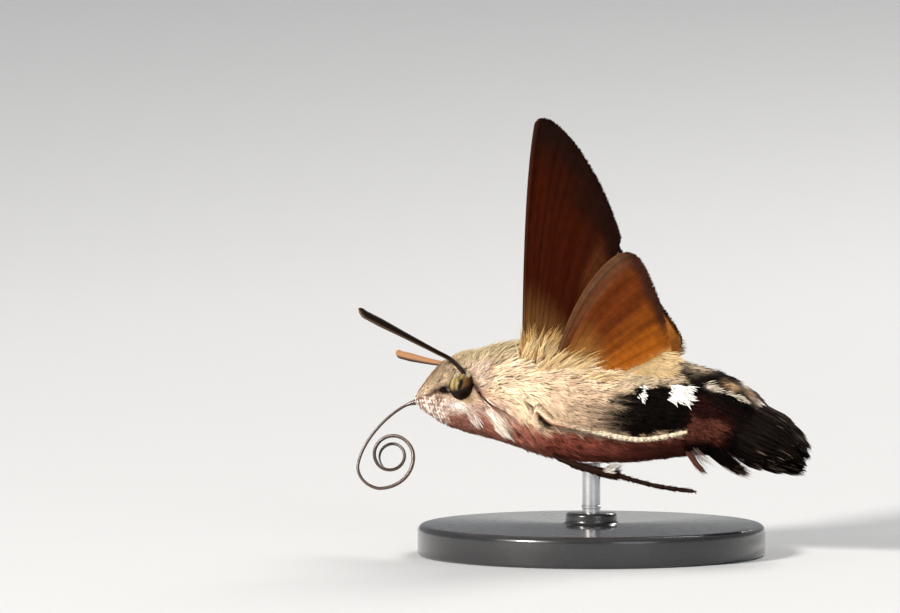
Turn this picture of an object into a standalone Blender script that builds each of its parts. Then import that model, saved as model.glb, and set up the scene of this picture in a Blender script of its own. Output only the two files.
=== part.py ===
"""Hummingbird hawk moth (Macroglossum stellatarum), life size, hovering on a small display stand.

Sizes are millimetres in the moth's own frame: x from the snout to the tail, z up, the left side
at -y. An empty banks and pitches the moth over the stand, whose foot is at the world origin.
"""

import math
import random

import bmesh
import bpy
import numpy as np
from mathutils import Euler, Matrix, Vector

# Units and the gap that touching pieces keep
MM = 0.001
GAP = 0.3

# Pose of the moth over the stand
BANK_DEG = 15.0
PITCH_DEG = 6.5
PERCH_X = 15.0
BASE_TOP_CLEARANCE = 2.0

# Body: x, height of the axis, half height, half width, forward lean of the section in degrees
BODY = [
    (0.0, 0.0, 0.10, 0.22, 0),
    (0.8, 0.5, 1.15, 0.85, 4),
    (1.9, 0.7, 2.15, 1.45, 12),
    (3.4, 0.8, 3.0, 2.0, 24),
    (5.2, 0.95, 3.85, 2.3, 32),
    (7.2, 1.25, 4.2, 3.0, 24),
    (9.4, 1.5, 4.55, 3.55, 12),
    (11.8, 1.65, 4.8, 3.9, 2),
    (14.4, 1.7, 4.8, 4.0, -3),
    (17.0, 1.7, 4.5, 4.0, -5),
    (19.6, 1.8, 4.05, 4.15, -6),
    (21.8, 1.9, 3.6, 4.15, -8),
    (23.5, 1.9, 3.3, 3.95, -12),
    (25.1, 1.6, 2.95, 3.6, -18),
    (26.8, 0.95, 2.3, 3.2, -25),
    (28.6, 0.1, 1.35, 2.4, -30),
    (30.0, -0.6, 0.55, 1.3, -32),
]
BODY_SIDES = 28
NECK_X = 5.6
WAIST_X = 17.6
SEAM_X = 22.35
FAN_X = 26.6
FAN_CORE_END_X = 29.7

# Outer form of the tail fan, in the same terms, and its tiers of vanes:
# x of the roots, x of the tips, vanes round the tail, width
FAN_FORM = [
    (26.2, 1.1, 2.5, 3.35, -22),
    (28.2, 0.35, 2.35, 3.6, -28),
    (29.9, -0.3, 1.95, 3.8, -30),
    (31.4, -1.0, 1.35, 3.7, -32),
]
FAN_TIERS = [(27.2, 29.2, 11, 1.95), (27.9, 30.1, 11, 1.85), (28.7, 30.9, 11, 1.75),
             (29.3, 31.1, 7, 1.7)]
FAN_TIER_STEP = (0.0, 0.12, 0.26, 0.85)
FAN_CORE_SINK = 0.35
VANE_THICK = 0.5

# Locks over the wing base: x of the root, reach of the tip, backward slope, lift off the wing
SHOULDER_LOCKS = [(8.5, 1.9, 0.35, 1.08), (9.3, 2.1, 0.28, 1.08), (9.9, 2.0, 0.75, 2.05),
                  (11.0, 1.6, 0.95, 2.1), (12.1, 1.1, 1.2, 2.2), (13.2, 0.5, 1.6, 2.35)]
SHOULDER_ROOT_REACH = -1.7
SHOULDER_WIDTH = 1.15

# Tufts on the abdomen: x, degrees up the flank, length, width, turn up the flank, stand-out
WHITE_TUFT = [(19.6, 30, 2.2, 1.1, -14, 0.34), (19.9, 20, 2.2, 1.1, -18, 0.38),
              (20.2, 10, 1.9, 1.0, -20, 0.40), (18.5, 8, 1.1, 0.8, -25, 0.42)]
PINK_TUFT = [(23.05, -64, 2.0, 0.8, 6, 0.95), (23.5, -52, 1.7, 0.8, 0, 0.7),
             (23.5, -78, 1.5, 0.7, 0, 0.75)]
BLACK_TUFT = [(24.3, -66, 3.1, 1.2, 0, 0.42), (24.6, -52, 2.7, 1.1, 0, 0.36),
              (24.4, -80, 2.6, 1.0, 0, 0.34)]
SIDE_TUFT = [(23.7, 24, 2.3, 1.3, -8, 0.34), (23.8, 6, 2.3, 1.3, -4, 0.36),
             (23.7, -14, 2.3, 1.3, 2, 0.34), (23.7, -34, 2.2, 1.2, 4, 0.32)]

# Head
EYE_CENTRE = (3.95, 1.5, 1.28)
EYE_RADII = (0.98, 1.08, 1.16)
PALP_LINE = (-0.05, 0.09)
PALP_BACK_X = 3.0
PALP_BACK_LEAN = 20.0
ANTENNA_ROOT = (3.55, 62.0)
ANTENNA_MID = (-0.6, 5.2, 4.1)
ANTENNA_TIP = (-4.0, 8.4, 5.0)
ANTENNA_RADII = [(0.0, 0.27), (0.3, 0.27), (0.55, 0.34), (0.78, 0.42), (0.9, 0.36), (1.0, 0.12)]

# Proboscis: an arched stem, then a spiral about a centre below the snout
PROBOSCIS_RADIUS = 0.26
STEM_ARC = [(-0.25, -0.32), (-1.5, -0.95), (-3.5, -3.4), (-3.56, -5.6)]
COIL_CENTRE = (-1.25, -4.5)
COIL_INNER = 0.98
COIL_GROWTH = 2.0
COIL_DECAY_DEG = 150.0
COIL_START_DEG = 262.0
COIL_END_DEG = 965.0
COIL_DRIFT = 0.85

# Wings: stroke angle from the vertical, root line, and planforms as (x, distance from the root)
STROKE_DEG = 30.0
WING_ROOT = (2.5, 5.2)
WING_HALF = 0.26
VEIN_HEIGHT = 0.12
VEIN_FOOT = 0.028
FAR_SWEEP_DEG = {"forewing": 10.0, "hindwing": 21.0}
SWEEP_PIVOT_X = 10.0

# Legs: each a list of (x, degrees up the flank, height over the body, radius)
FORELEG = [(8.0, -68, 0.60, 0.28), (6.7, -58, 0.61, 0.28), (6.0, -46, 0.62, 0.28),
           (7.1, -44, 0.60, 0.27), (8.3, -48, 0.59, 0.26), (9.3, -54, 0.58, 0.25)]
MIDLEG = [(10.9, -62, 0.60, 0.30), (10.1, -45, 0.64, 0.31), (10.25, -22, 0.66, 0.31),
          (11.7, -31, 0.63, 0.29), (13.4, -33, 0.62, 0.28), (15.5, -36, 0.60, 0.27),
          (17.5, -40, 0.58, 0.26), (19.6, -42.5, 0.58, 0.26), (22.7, -35, 0.60, 0.25)]
HINDLEG = [(14.3, -76, 0.60, 0.29), (12.9, -70, 0.62, 0.30), (11.9, -62, 0.63, 0.30),
           (13.3, -57, 0.62, 0.30), (15.4, -60, 0.72, 0.30), (17.4, -65, 1.2, 0.29)]
HIND_TARSUS = [(20.5, 2.3, -4.7), (23.7, 2.3, -4.9)]
FAR_LEG_TUCK = 0.85
SPUR_LENGTH = 1.2

# Stand
BASE_RADIUS = 13.5
BASE_HEIGHT = 2.4
BASE_EDGE = 0.5
COLLAR_RADIUS = 2.0
COLLAR_HEIGHT = 0.9
ROD_RADIUS = 0.7
SOCKET_DEPTH = 1.6
STAND_SIDES = 32

# Colours, roughness and metallic value of each material
LOOKS = {
    "fur_tan": ((0.48, 0.38, 0.26), 0.9, 0.0),
    "fur_dark": ((0.035, 0.022, 0.018), 0.85, 0.0),
    "eye_dark": ((0.03, 0.02, 0.015), 0.15, 0.0),
    "antenna_brown": ((0.06, 0.03, 0.025), 0.6, 0.0),
    "proboscis_brown": ((0.07, 0.03, 0.02), 0.35, 0.0),
    "wing_brown": ((0.13, 0.055, 0.03), 0.7, 0.0),
    "wing_orange": ((0.45, 0.17, 0.04), 0.7, 0.0),
    "leg_cream": ((0.50, 0.40, 0.28), 0.8, 0.0),
    "leg_brown": ((0.07, 0.035, 0.025), 0.7, 0.0),
    "stand_black": ((0.02, 0.02, 0.022), 0.3, 0.0),
    "stand_steel": ((0.6, 0.6, 0.6), 0.3, 1.0),
}


def clear_scene():
    for item in list(bpy.data.objects):
        bpy.data.objects.remove(item, do_unlink=True)


def material(name):
    found = bpy.data.materials.get(name)
    if found:
        return found
    colour, roughness, metallic = LOOKS[name]
    made = bpy.data.materials.new(name)
    made.use_nodes = True
    shader = made.node_tree.nodes["Principled BSDF"]
    shader.inputs["Base Color"].default_value = (*colour, 1.0)
    shader.inputs["Roughness"].default_value = roughness
    shader.inputs["Metallic"].default_value = metallic
    return made


# Body surface

BODY_FORM = np.array(BODY)
FAN_OUTER_FORM = np.array(FAN_FORM)


def section(x, form=BODY_FORM):
    """Axis height, half height, half width and lean of a form at x, by Hermite curves."""
    slopes = np.gradient(form[:, 1:], form[:, 0], axis=0)
    k = int(np.clip(np.searchsorted(form[:, 0], x) - 1, 0, len(form) - 2))
    span = form[k + 1, 0] - form[k, 0]
    t = (x - form[k, 0]) / span
    start = (2 * t**3 - 3 * t**2 + 1) * form[k, 1:]
    leave = (t**3 - 2 * t**2 + t) * span * slopes[k]
    end = (3 * t**2 - 2 * t**3) * form[k + 1, 1:]
    arrive = (t**3 - t**2) * span * slopes[k + 1]
    return start + leave + end + arrive


def body_point(x, up_deg, side=-1, grow=0.0, form=BODY_FORM):
    """Point on the form's section at x, up_deg above the flank, grown outward in its section."""
    height, tall, wide, lean = section(x, form)
    lean = math.radians(lean)
    up = math.radians(up_deg)
    rise = (tall + grow) * math.sin(up)
    return Vector((x - math.sin(lean) * rise,
                   side * (wide + grow) * math.cos(up),
                   height + math.cos(lean) * rise))


def body_normal(x, up_deg, side=-1):
    along = body_point(x + 0.02, up_deg, side) - body_point(x - 0.02, up_deg, side)
    around = body_point(x, up_deg + 0.5, side) - body_point(x, up_deg - 0.5, side)
    normal = along.cross(around).normalized()
    outward = body_point(x, up_deg, side) - Vector((x, 0.0, section(x)[0]))
    return normal if normal.dot(outward) > 0 else -normal


def over_body(x, up_deg, lift, side=-1):
    return body_point(x, up_deg, side) + lift * body_normal(x, up_deg, side)


# Mesh helpers

def new_object(name, mesh, look=None):
    made = bpy.data.objects.new(name, mesh)
    model_collection.objects.link(made)
    if look:
        mesh.materials.clear()
        mesh.materials.append(material(look))
    return made


def to_mesh(name, points, faces):
    mesh = bpy.data.meshes.new(name)
    mesh.from_pydata([tuple(Vector(p) * MM) for p in points], [], faces)
    grid = bmesh.new()
    grid.from_mesh(mesh)
    bmesh.ops.recalc_face_normals(grid, faces=grid.faces)
    grid.to_mesh(mesh)
    grid.free()
    return mesh


def loft(name, rings):
    """Closed tube through rings of equally many points, with flat ends."""
    count = len(rings[0])
    points = [p for ring in rings for p in ring]
    faces = []
    for r in range(len(rings) - 1):
        for s in range(count):
            a = r * count + s
            b = r * count + (s + 1) % count
            faces.append((a, b, b + count, a + count))
    faces.append(tuple(range(count)))
    faces.append(tuple(range(len(points) - count, len(points))))
    return to_mesh(name, points, faces)


def body_ring(x, grow=0.0, sides=BODY_SIDES):
    step = 360.0 / sides
    return [body_point(x, step * (k + 0.5), 1, grow) for k in range(sides)]


def body_length(name, x_from, x_to, rings, grow=0.0, sides=BODY_SIDES):
    places = np.linspace(x_from, x_to, rings)
    return loft(name, [body_ring(x, grow, sides) for x in places])


def keep_largest(item):
    """Leave only the closed surface with the largest volume."""
    grid = bmesh.new()
    grid.from_mesh(item.data)
    bmesh.ops.remove_doubles(grid, verts=grid.verts, dist=2e-8)
    bmesh.ops.dissolve_degenerate(grid, edges=grid.edges, dist=2e-8)
    left = set(grid.faces)
    shells = []
    while left:
        stack = [left.pop()]
        shell = set(stack)
        while stack:
            for edge in stack.pop().edges:
                for face in edge.link_faces:
                    if face in left:
                        left.discard(face)
                        shell.add(face)
                        stack.append(face)
        shells.append(shell)

    def shell_volume(shell):
        total = 0.0
        for face in shell:
            corners = [loop.vert.co for loop in face.loops]
            for k in range(1, len(corners) - 1):
                total += corners[0].dot(corners[k].cross(corners[k + 1])) / 6.0
        return abs(total)

    largest = max(shells, key=shell_volume)
    bmesh.ops.delete(grid, geom=[f for f in grid.faces if f not in largest], context="FACES")
    bmesh.ops.delete(grid, geom=[v for v in grid.verts if not v.link_faces], context="VERTS")
    grid.to_mesh(item.data)
    grid.free()


def bake(item):
    """Replace the object's mesh by its evaluated one."""
    bpy.context.view_layer.update()
    evaluated = item.evaluated_get(bpy.context.evaluated_depsgraph_get())
    mesh = bpy.data.meshes.new_from_object(evaluated)
    item.modifiers.clear()
    item.data = mesh


def carve(item, cutter, operation="DIFFERENCE"):
    cut = item.modifiers.new("cut", "BOOLEAN")
    cut.operation = operation
    cut.solver = "EXACT"
    cut.object = cutter
    bake(item)
    keep_largest(item)


def fuse(item, meshes, solver="EXACT"):
    """Join closed meshes to the object with one union."""
    pieces = bpy.data.collections.new(item.name + "_pieces")
    bpy.context.scene.collection.children.link(pieces)
    for mesh in meshes:
        piece = bpy.data.objects.new(mesh.name, mesh)
        piece.matrix_world = item.matrix_world
        pieces.objects.link(piece)
    join = item.modifiers.new("join", "BOOLEAN")
    join.operation = "UNION"
    join.solver = solver
    join.operand_type = "COLLECTION"
    join.collection = pieces
    bake(item)
    for piece in list(pieces.objects):
        bpy.data.objects.remove(piece, do_unlink=True)
    bpy.data.collections.remove(pieces)
    keep_largest(item)


def smooth(item, angle_deg=50.0):
    item.data.shade_smooth()
    item.data.set_sharp_from_angle(angle=math.radians(angle_deg))


def cutter(name, mesh):
    made = bpy.data.objects.new(name, mesh)
    made.hide_render = True
    made.display_type = "WIRE"
    cutter_collection.objects.link(made)
    return made


def tube(name, points, radii):
    """Round closed tube along points, from a curve with filled caps."""
    curve = bpy.data.curves.new(name, "CURVE")
    curve.dimensions = "3D"
    curve.bevel_depth = MM
    curve.bevel_resolution = 2
    curve.use_fill_caps = True
    spline = curve.splines.new("POLY")
    spline.points.add(len(points) - 1)
    for place, point, radius in zip(spline.points, points, radii):
        place.co = (*(Vector(point) * MM), 1.0)
        place.radius = radius
    drawn = bpy.data.objects.new(name, curve)
    bpy.context.scene.collection.objects.link(drawn)
    bpy.context.view_layer.update()
    evaluated = drawn.evaluated_get(bpy.context.evaluated_depsgraph_get())
    mesh = bpy.data.meshes.new_from_object(evaluated)
    bpy.data.objects.remove(drawn, do_unlink=True)
    grid = bmesh.new()
    grid.from_mesh(mesh)
    bmesh.ops.remove_doubles(grid, verts=grid.verts, dist=1e-6)
    bmesh.ops.recalc_face_normals(grid, faces=grid.faces)
    grid.to_mesh(mesh)
    grid.free()
    return mesh


def smooth_path(points, values, steps):
    """Catmull-Rom curve through points, with values carried along, in equal parameter steps."""
    knots = np.array([list(p) + [v] for p, v in zip(points, values)], float)
    knots = np.vstack([2 * knots[0] - knots[1], knots, 2 * knots[-1] - knots[-2]])
    spans = len(points) - 1
    path = []
    for t in np.linspace(0, spans, steps):
        k = min(int(t), spans - 1)
        f = t - k
        a, b, c, d = knots[k:k + 4]
        path.append(0.5 * (2 * b + (c - a) * f + (2 * a - 5 * b + 4 * c - d) * f**2
                           + (3 * b - a - 3 * c + d) * f**3))
    path = np.array(path)
    return [Vector(p) for p in path[:, :3]], list(path[:, 3])


def bezier(corners, t):
    """Point of a Bezier curve with any number of corner points."""
    left = [np.array(c, float) for c in corners]
    while len(left) > 1:
        left = [(1 - t) * a + t * b for a, b in zip(left, left[1:])]
    return left[0]


def lock(name, root, middle, tip, normal, width, thick, steps=4):
    """Flat tapered lock: diamond sections along a bent path, ending in a point."""
    points = []
    normal = normal.normalized()
    for k in range(steps):
        t = k / steps
        place = Vector(bezier([root, middle, tip], t))
        ahead = Vector(bezier([root, middle, tip], t + 0.02))
        along = (ahead - place).normalized()
        across = along.cross(normal).normalized()
        lifted = across.cross(along).normalized()
        fullness = 0.75 + 0.8 * t if t < 0.3 else 1.2 * (1.0 - t) ** 0.55
        half_width = 0.5 * width * fullness
        half_thick = 0.5 * thick * (1.0 - 0.3 * t)
        points += [place + across * half_width, place + lifted * half_thick,
                   place - across * half_width, place - lifted * half_thick]
    points.append(Vector(tip))
    end = len(points) - 1
    faces = [(0, 1, 2, 3)]
    for k in range(steps - 1):
        for s in range(4):
            a = 4 * k + s
            b = 4 * k + (s + 1) % 4
            faces += [(a, b, b + 4), (a, b + 4, a + 4)]
    for s in range(4):
        faces.append((end - 4 + s, end - 4 + (s + 1) % 4, end))
    return to_mesh(name, points, faces)


def body_lock(name, x, up_deg, side, length, width, turn_deg, stand_out, sink=0.45):
    """Lock rooted in the body, lying toward the tail, turned turn_deg up the flank."""
    normal = body_normal(x, up_deg, side)
    along = (body_point(x + 0.05, up_deg, side) - body_point(x - 0.05, up_deg, side)).normalized()
    upward = (body_point(x, up_deg + 1, side) - body_point(x, up_deg - 1, side)).normalized()
    turn = math.radians(turn_deg)
    heading = along * math.cos(turn) + upward * math.sin(turn) + normal * stand_out
    heading.normalize()
    surface = body_point(x, up_deg, side)
    root = surface - normal * sink - along * sink
    tip = surface + heading * length
    middle = root.lerp(tip, 0.5) + normal * (0.12 * length)
    return lock(name, root, middle, tip, normal, width, VANE_THICK)


def mirrored(point, side):
    """Point given for the right side, moved to the side asked for."""
    return Vector((point[0], side * abs(point[1]), point[2]))


# Body nodes

def make_body():
    half = GAP / 2
    head = new_object("head", body_length("head", 0.0, NECK_X - half, 12), "fur_tan")
    thorax = new_object("thorax", body_length("thorax", NECK_X + half, WAIST_X - half, 14),
                        "fur_tan")
    front = new_object("abdomen_front", body_length("abdomen_front", WAIST_X + half,
                                                    SEAM_X - half, 6), "fur_tan")
    rear = new_object("abdomen_rear", body_length("abdomen_rear", SEAM_X + half, FAN_X - half, 6),
                      "fur_dark")
    fan = new_object("tail_fan", body_length("tail_fan", FAN_X + half, FAN_CORE_END_X, 5),
                     "fur_dark")
    return head, thorax, front, rear, fan


def varied(amount):
    """Seeded factor near one, so that no two locks are quite alike."""
    return 1.0 + random.uniform(-amount, amount)


def tufts_on_both_sides(item, rows):
    pieces = []
    for side in (-1, 1):
        for x, up_deg, length, width, turn_deg, stand_out in rows:
            pieces.append(body_lock("tuft", x, up_deg + random.uniform(-2, 2), side,
                                    length * varied(0.06), width * varied(0.1),
                                    turn_deg + random.uniform(-4, 4), stand_out))
    fuse(item, pieces)


def grow_shoulder_locks(thorax):
    """Long hair that rises from the flank over the base of each wing."""
    pieces = []
    for side in (-1, 1):
        for x, reach, slope, lift in SHOULDER_LOCKS:
            run = reach - SHOULDER_ROOT_REACH
            root = stroke_point(x, SHOULDER_ROOT_REACH, side, lift)
            middle = stroke_point(x + slope * run * 0.4, SHOULDER_ROOT_REACH + 0.55 * run, side,
                                  lift)
            tip = stroke_point(x + slope * run, reach * varied(0.05), side, lift)
            normal = stroke_point(x, 0.0, side, 1.0) - stroke_point(x, 0.0, side, 0.0)
            pieces.append(lock("shoulder", root, middle, tip, normal,
                               SHOULDER_WIDTH * varied(0.08), VANE_THICK))
    fuse(thorax, pieces)


def grow_fan(fan):
    """Tiers of overlapping vanes from the core of the tail out to the fan's outer form."""
    pieces = []
    for tier, (root_x, tip_x, count, width) in enumerate(FAN_TIERS):
        for k in range(count):
            up_deg = 360.0 * (k + 0.5 * (tier % 2) + random.uniform(-0.12, 0.12)) / count
            reach = tip_x + random.uniform(-0.35, 0.25)
            surface = body_point(root_x, up_deg, 1)
            normal = body_normal(root_x, up_deg, 1)
            root = surface - normal * FAN_CORE_SINK
            inward = FAN_TIER_STEP[tier]
            tip = body_point(reach, up_deg, 1, -inward, FAN_OUTER_FORM)
            middle = body_point(0.5 * (root_x + reach), up_deg, 1, 0.05 - inward, FAN_OUTER_FORM)
            pieces.append(lock("vane", root, middle, tip, normal, width * varied(0.08),
                               VANE_THICK, 3))
    fuse(fan, pieces, "MANIFOLD")


def palp_plane_z(x):
    return PALP_LINE[0] + PALP_LINE[1] * x


def wedge(name, y_from, y_to, drop, back):
    """Block under the palp line and in front of the palps' leaning back end."""
    lean = math.tan(math.radians(PALP_BACK_LEAN))
    low = -4.0
    corners = []
    for y in (y_from, y_to):
        top_back = PALP_BACK_X + back
        z_back = palp_plane_z(top_back) - drop
        corners += [(-1.0, y, palp_plane_z(-1.0) - drop), (top_back, y, z_back),
                    (top_back + lean * (z_back - low), y, low), (-1.0, y, low)]
    faces = [(0, 1, 2, 3), (7, 6, 5, 4)]
    faces += [(k, k + 4, (k + 1) % 4 + 4, (k + 1) % 4) for k in range(4)]
    return to_mesh(name, corners, faces)


def ellipsoid(name, centre, radii, segments=16, rings=10):
    grid = bmesh.new()
    bmesh.ops.create_uvsphere(grid, u_segments=segments, v_segments=rings, radius=MM)
    for vert in grid.verts:
        vert.co = Vector((vert.co.x * radii[0] + centre[0] * MM,
                          vert.co.y * radii[1] + centre[1] * MM,
                          vert.co.z * radii[2] + centre[2] * MM))
    mesh = bpy.data.meshes.new(name)
    grid.to_mesh(mesh)
    grid.free()
    return mesh


def make_face(head):
    """Part the two palps from the head with thin cuts and sink the eyes into it."""
    for side, word in ((-1, "left"), (1, "right")):
        palp = new_object("palp_" + word, head.data.copy(), "fur_tan")
        inner = side * GAP / 2
        outer = side * 4.0
        block = cutter("palp_block_" + word, wedge("block", inner, outer, GAP, -GAP))
        carve(palp, block, "INTERSECT")
    under = cutter("palp_space", wedge("block", -4.0, 4.0, 0.0, 0.0))
    carve(head, under)
    socket_radii = [r + GAP for r in EYE_RADII]
    for side, word in ((-1, "left"), (1, "right")):
        centre = mirrored(EYE_CENTRE, side)
        socket = cutter("eye_socket_" + word, ellipsoid("socket", centre, socket_radii, 14, 8))
        carve(head, socket)
        eye = new_object("eye_" + word, ellipsoid("eye", centre, EYE_RADII), "eye_dark")
        smooth(eye)


def make_antennae(grown):
    for side, word in ((-1, "left"), (1, "right")):
        x, up_deg = ANTENNA_ROOT
        root = body_point(x, up_deg, side)
        middle = mirrored(ANTENNA_MID, side)
        tip = mirrored(ANTENNA_TIP, side)
        stations = np.linspace(0.0, 1.0, 15)
        places = [Vector(bezier([root, root.lerp(middle, 0.75), middle, tip], t)) for t in stations]
        known = np.array(ANTENNA_RADII)
        radii = np.interp(stations, known[:, 0], known[:, 1])
        antenna = new_object("antenna_" + word, tube("antenna", places, radii), "antenna_brown")
        carve(antenna, grown)
        smooth(antenna)


# Proboscis

def coil_point(angle_deg):
    """Place on the shrinking spiral, drifting sideways so that the turns lie side by side."""
    reach = COIL_INNER + COIL_GROWTH * math.exp(-(angle_deg - COIL_START_DEG + 12.0)
                                                / COIL_DECAY_DEG)
    angle = math.radians(angle_deg)
    turns = max(0.0, angle_deg - COIL_START_DEG - 90.0) / 360.0
    return Vector((COIL_CENTRE[0] + reach * math.cos(angle), COIL_DRIFT * turns,
                   COIL_CENTRE[1] + reach * math.sin(angle)))


def proboscis_path():
    stem = [Vector((p[0], 0.0, p[1])) for p in
            (bezier(STEM_ARC, t) for t in np.linspace(0, 1, 12))]
    start = coil_point(COIL_START_DEG)
    turn_corners = [STEM_ARC[3], (STEM_ARC[3][0] - 0.02, STEM_ARC[3][1] - 0.95),
                    (start.x - 0.95, start.z + 0.02), (start.x, start.z)]
    turn = [Vector((p[0], 0.0, p[1])) for p in
            (bezier(turn_corners, t) for t in np.linspace(0, 1, 8)[1:])]
    coil = [coil_point(a) for a in np.arange(COIL_START_DEG + 14, COIL_END_DEG, 16.0)]
    return stem, turn, coil


def trim_start(points, gap):
    """Move the first point along the path by the gap."""
    direction = (points[1] - points[0]).normalized()
    return [points[0] + direction * gap] + points[1:]


def make_proboscis():
    stem, turn, coil = proboscis_path()
    whole = stem + turn + coil
    first = len(stem) - 1
    second = first + len(turn) + 1
    third = second + 7
    fourth = third + 8
    names = ["proboscis_stem", "proboscis_bend", "proboscis_loop_lower", "proboscis_loop_upper",
             "proboscis_coil"]
    cuts = [0, first, second, third, fourth, len(whole) - 1]
    for name, begin, end in zip(names, cuts, cuts[1:]):
        points = whole[begin:end + 1]
        if begin:
            points = trim_start(points, GAP)
        radii = [PROBOSCIS_RADIUS] * len(points)
        if end == len(whole) - 1:
            radii[-2:] = [0.2, 0.1]
        piece = new_object(name, tube(name, points, radii), "proboscis_brown")
        smooth(piece)


# Wings

def stroke_point(x, reach, side, lift=0.0):
    """Place on the plane of the raised wing, reach from its root line, lifted to its underside."""
    stroke = math.radians(STROKE_DEG)
    y = WING_ROOT[0] + reach * math.sin(stroke) + lift * math.cos(stroke)
    z = WING_ROOT[1] + reach * math.cos(stroke) - lift * math.sin(stroke)
    return Vector((x, side * y, z))


def swept(x, reach, turn_deg):
    """Turn a planform point forward about the shoulder."""
    turn = math.radians(turn_deg)
    back = x - SWEEP_PIVOT_X
    return (SWEEP_PIVOT_X + back * math.cos(turn) - reach * math.sin(turn),
            reach * math.cos(turn) + back * math.sin(turn))


def membrane(name, edge_points, veins, spans, side):
    """Closed wing: a Coons patch between four edges, with the veins raised in both faces.

    edge_points(u, v) places the patch; u runs from the root to the margin, v from the leading
    edge to the trailing one. Both faces are split into like triangles.
    """
    across = [0.0]
    raised = [0.4]
    for vein in veins:
        across += [vein - VEIN_FOOT, vein, vein + VEIN_FOOT]
        raised += [0.0, 1.0, 0.0]
    across.append(1.0)
    raised.append(0.0)
    along = np.linspace(0.0, 1.0, spans + 1)
    centre = [[edge_points(u, v) for v in across] for u in along]
    rows, columns = len(along), len(across)
    points = []
    for face in (1, -1):
        for r in range(rows):
            for c in range(columns):
                r0, r1 = max(r - 1, 0), min(r + 1, rows - 1)
                c0, c1 = max(c - 1, 0), min(c + 1, columns - 1)
                normal = (centre[r1][c] - centre[r0][c]).cross(centre[r][c1] - centre[r][c0])
                normal.normalize()
                fade = 1.0 - 0.5 * along[r]
                half = WING_HALF + VEIN_HEIGHT * raised[c] * fade
                points.append(centre[r][c] + normal * (face * half))
    faces = []
    under = rows * columns
    for r in range(rows - 1):
        for c in range(columns - 1):
            a, b = r * columns + c, r * columns + c + 1
            d, e = a + columns, b + columns
            faces += [(a, b, e), (a, e, d)]
            faces += [(a + under, e + under, b + under), (a + under, d + under, e + under)]
    rim = [c for c in range(columns)]
    rim += [r * columns + columns - 1 for r in range(1, rows)]
    rim += [(rows - 1) * columns + c for c in range(columns - 2, -1, -1)]
    rim += [r * columns for r in range(rows - 2, 0, -1)]
    for k, a in enumerate(rim):
        b = rim[(k + 1) % len(rim)]
        faces += [(b, a, a + under), (b, a + under, b + under)]
    return to_mesh(name, points, faces)


def coons(root, margin, leading, trailing):
    """Patch between four Bezier edges of (x, reach, lift)."""
    corners = [np.array(leading[0], float), np.array(leading[-1], float),
               np.array(trailing[0], float), np.array(trailing[-1], float)]

    def place(u, v):
        between_margins = (1 - v) * bezier(leading, u) + v * bezier(trailing, u)
        between_ends = (1 - u) * bezier(root, v) + u * bezier(margin, v)
        flat = ((1 - u) * (1 - v) * corners[0] + u * (1 - v) * corners[1]
                + (1 - u) * v * corners[2] + u * v * corners[3])
        return between_margins + between_ends - flat

    return place


FOREWING_LEADING = [(8.3, -1.2, 0.0), (7.9, 7.0, 0.0), (7.9, 14.5, 0.2), (8.7, 18.7, 0.5)]
FOREWING_MARGIN = [(8.7, 18.7, 0.5), (12.0, 18.4, 0.3), (14.9, 12.6, 0.0), (15.9, 8.5, 0.0)]
FOREWING_TRAILING = [(11.6, -1.2, 0.0), (12.2, 3.0, 0.0), (13.6, 7.0, 0.0), (15.9, 8.5, 0.0)]
FOREWING_ROOT = [(8.3, -1.2, 0.0), (11.6, -1.2, 0.0)]
FOREWING_VEINS = [0.1, 0.24, 0.4, 0.56, 0.72, 0.87]

HINDWING_LEADING = [(11.0, -1.2, 0.92), (11.9, 3.6, 0.92), (13.8, 7.6, 0.92), (16.2, 8.9, 0.92)]
HINDWING_MARGIN = [(16.2, 8.9, 0.92), (18.5, 7.6, 0.92), (20.0, 2.6, 1.0), (20.6, -0.1, 1.5)]
HINDWING_TRAILING = [(14.6, -2.2, 1.9), (16.0, -2.1, 2.0), (18.4, -1.5, 1.9), (20.6, -0.1, 1.5)]
HINDWING_ROOT = [(11.0, -1.2, 0.92), (12.8, -2.2, 1.3), (14.6, -2.2, 1.9)]
HINDWING_VEINS = [0.14, 0.32, 0.5, 0.68, 0.85]


def make_wing(name, look, edges, veins, spans, side, grown):
    patch = coons(*edges)
    turn_deg = FAR_SWEEP_DEG[name.split("_")[0]] if side > 0 else 0.0

    def edge_points(u, v):
        x, reach, lift = patch(u, v)
        x, reach = swept(x, reach, turn_deg)
        return stroke_point(x, reach, side, lift)

    wing = new_object(name, membrane(name, edge_points, veins, spans, side), look)
    carve(wing, grown)
    smooth(wing, 20.0)
    return wing


def make_wings(grown):
    fore = (FOREWING_ROOT, FOREWING_MARGIN, FOREWING_LEADING, FOREWING_TRAILING)
    hind = (HINDWING_ROOT, HINDWING_MARGIN, HINDWING_LEADING, HINDWING_TRAILING)
    for side, word in ((-1, "left"), (1, "right")):
        make_wing("forewing_" + word, "wing_brown", fore, FOREWING_VEINS, 9, side, grown)
        make_wing("hindwing_" + word, "wing_orange", hind, HINDWING_VEINS, 7, side, grown)


# Legs

def leg_stations(stations, side):
    places = [over_body(x, up, lift, side) for x, up, lift, radius in stations]
    radii = [radius for x, up, lift, radius in stations]
    return places, radii


def make_leg(name, look, places, radii, steps, grown):
    points, sizes = smooth_path(places, radii, steps)
    leg = new_object(name, tube(name, points, sizes), look)
    carve(leg, grown)
    smooth(leg)
    return leg


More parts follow.
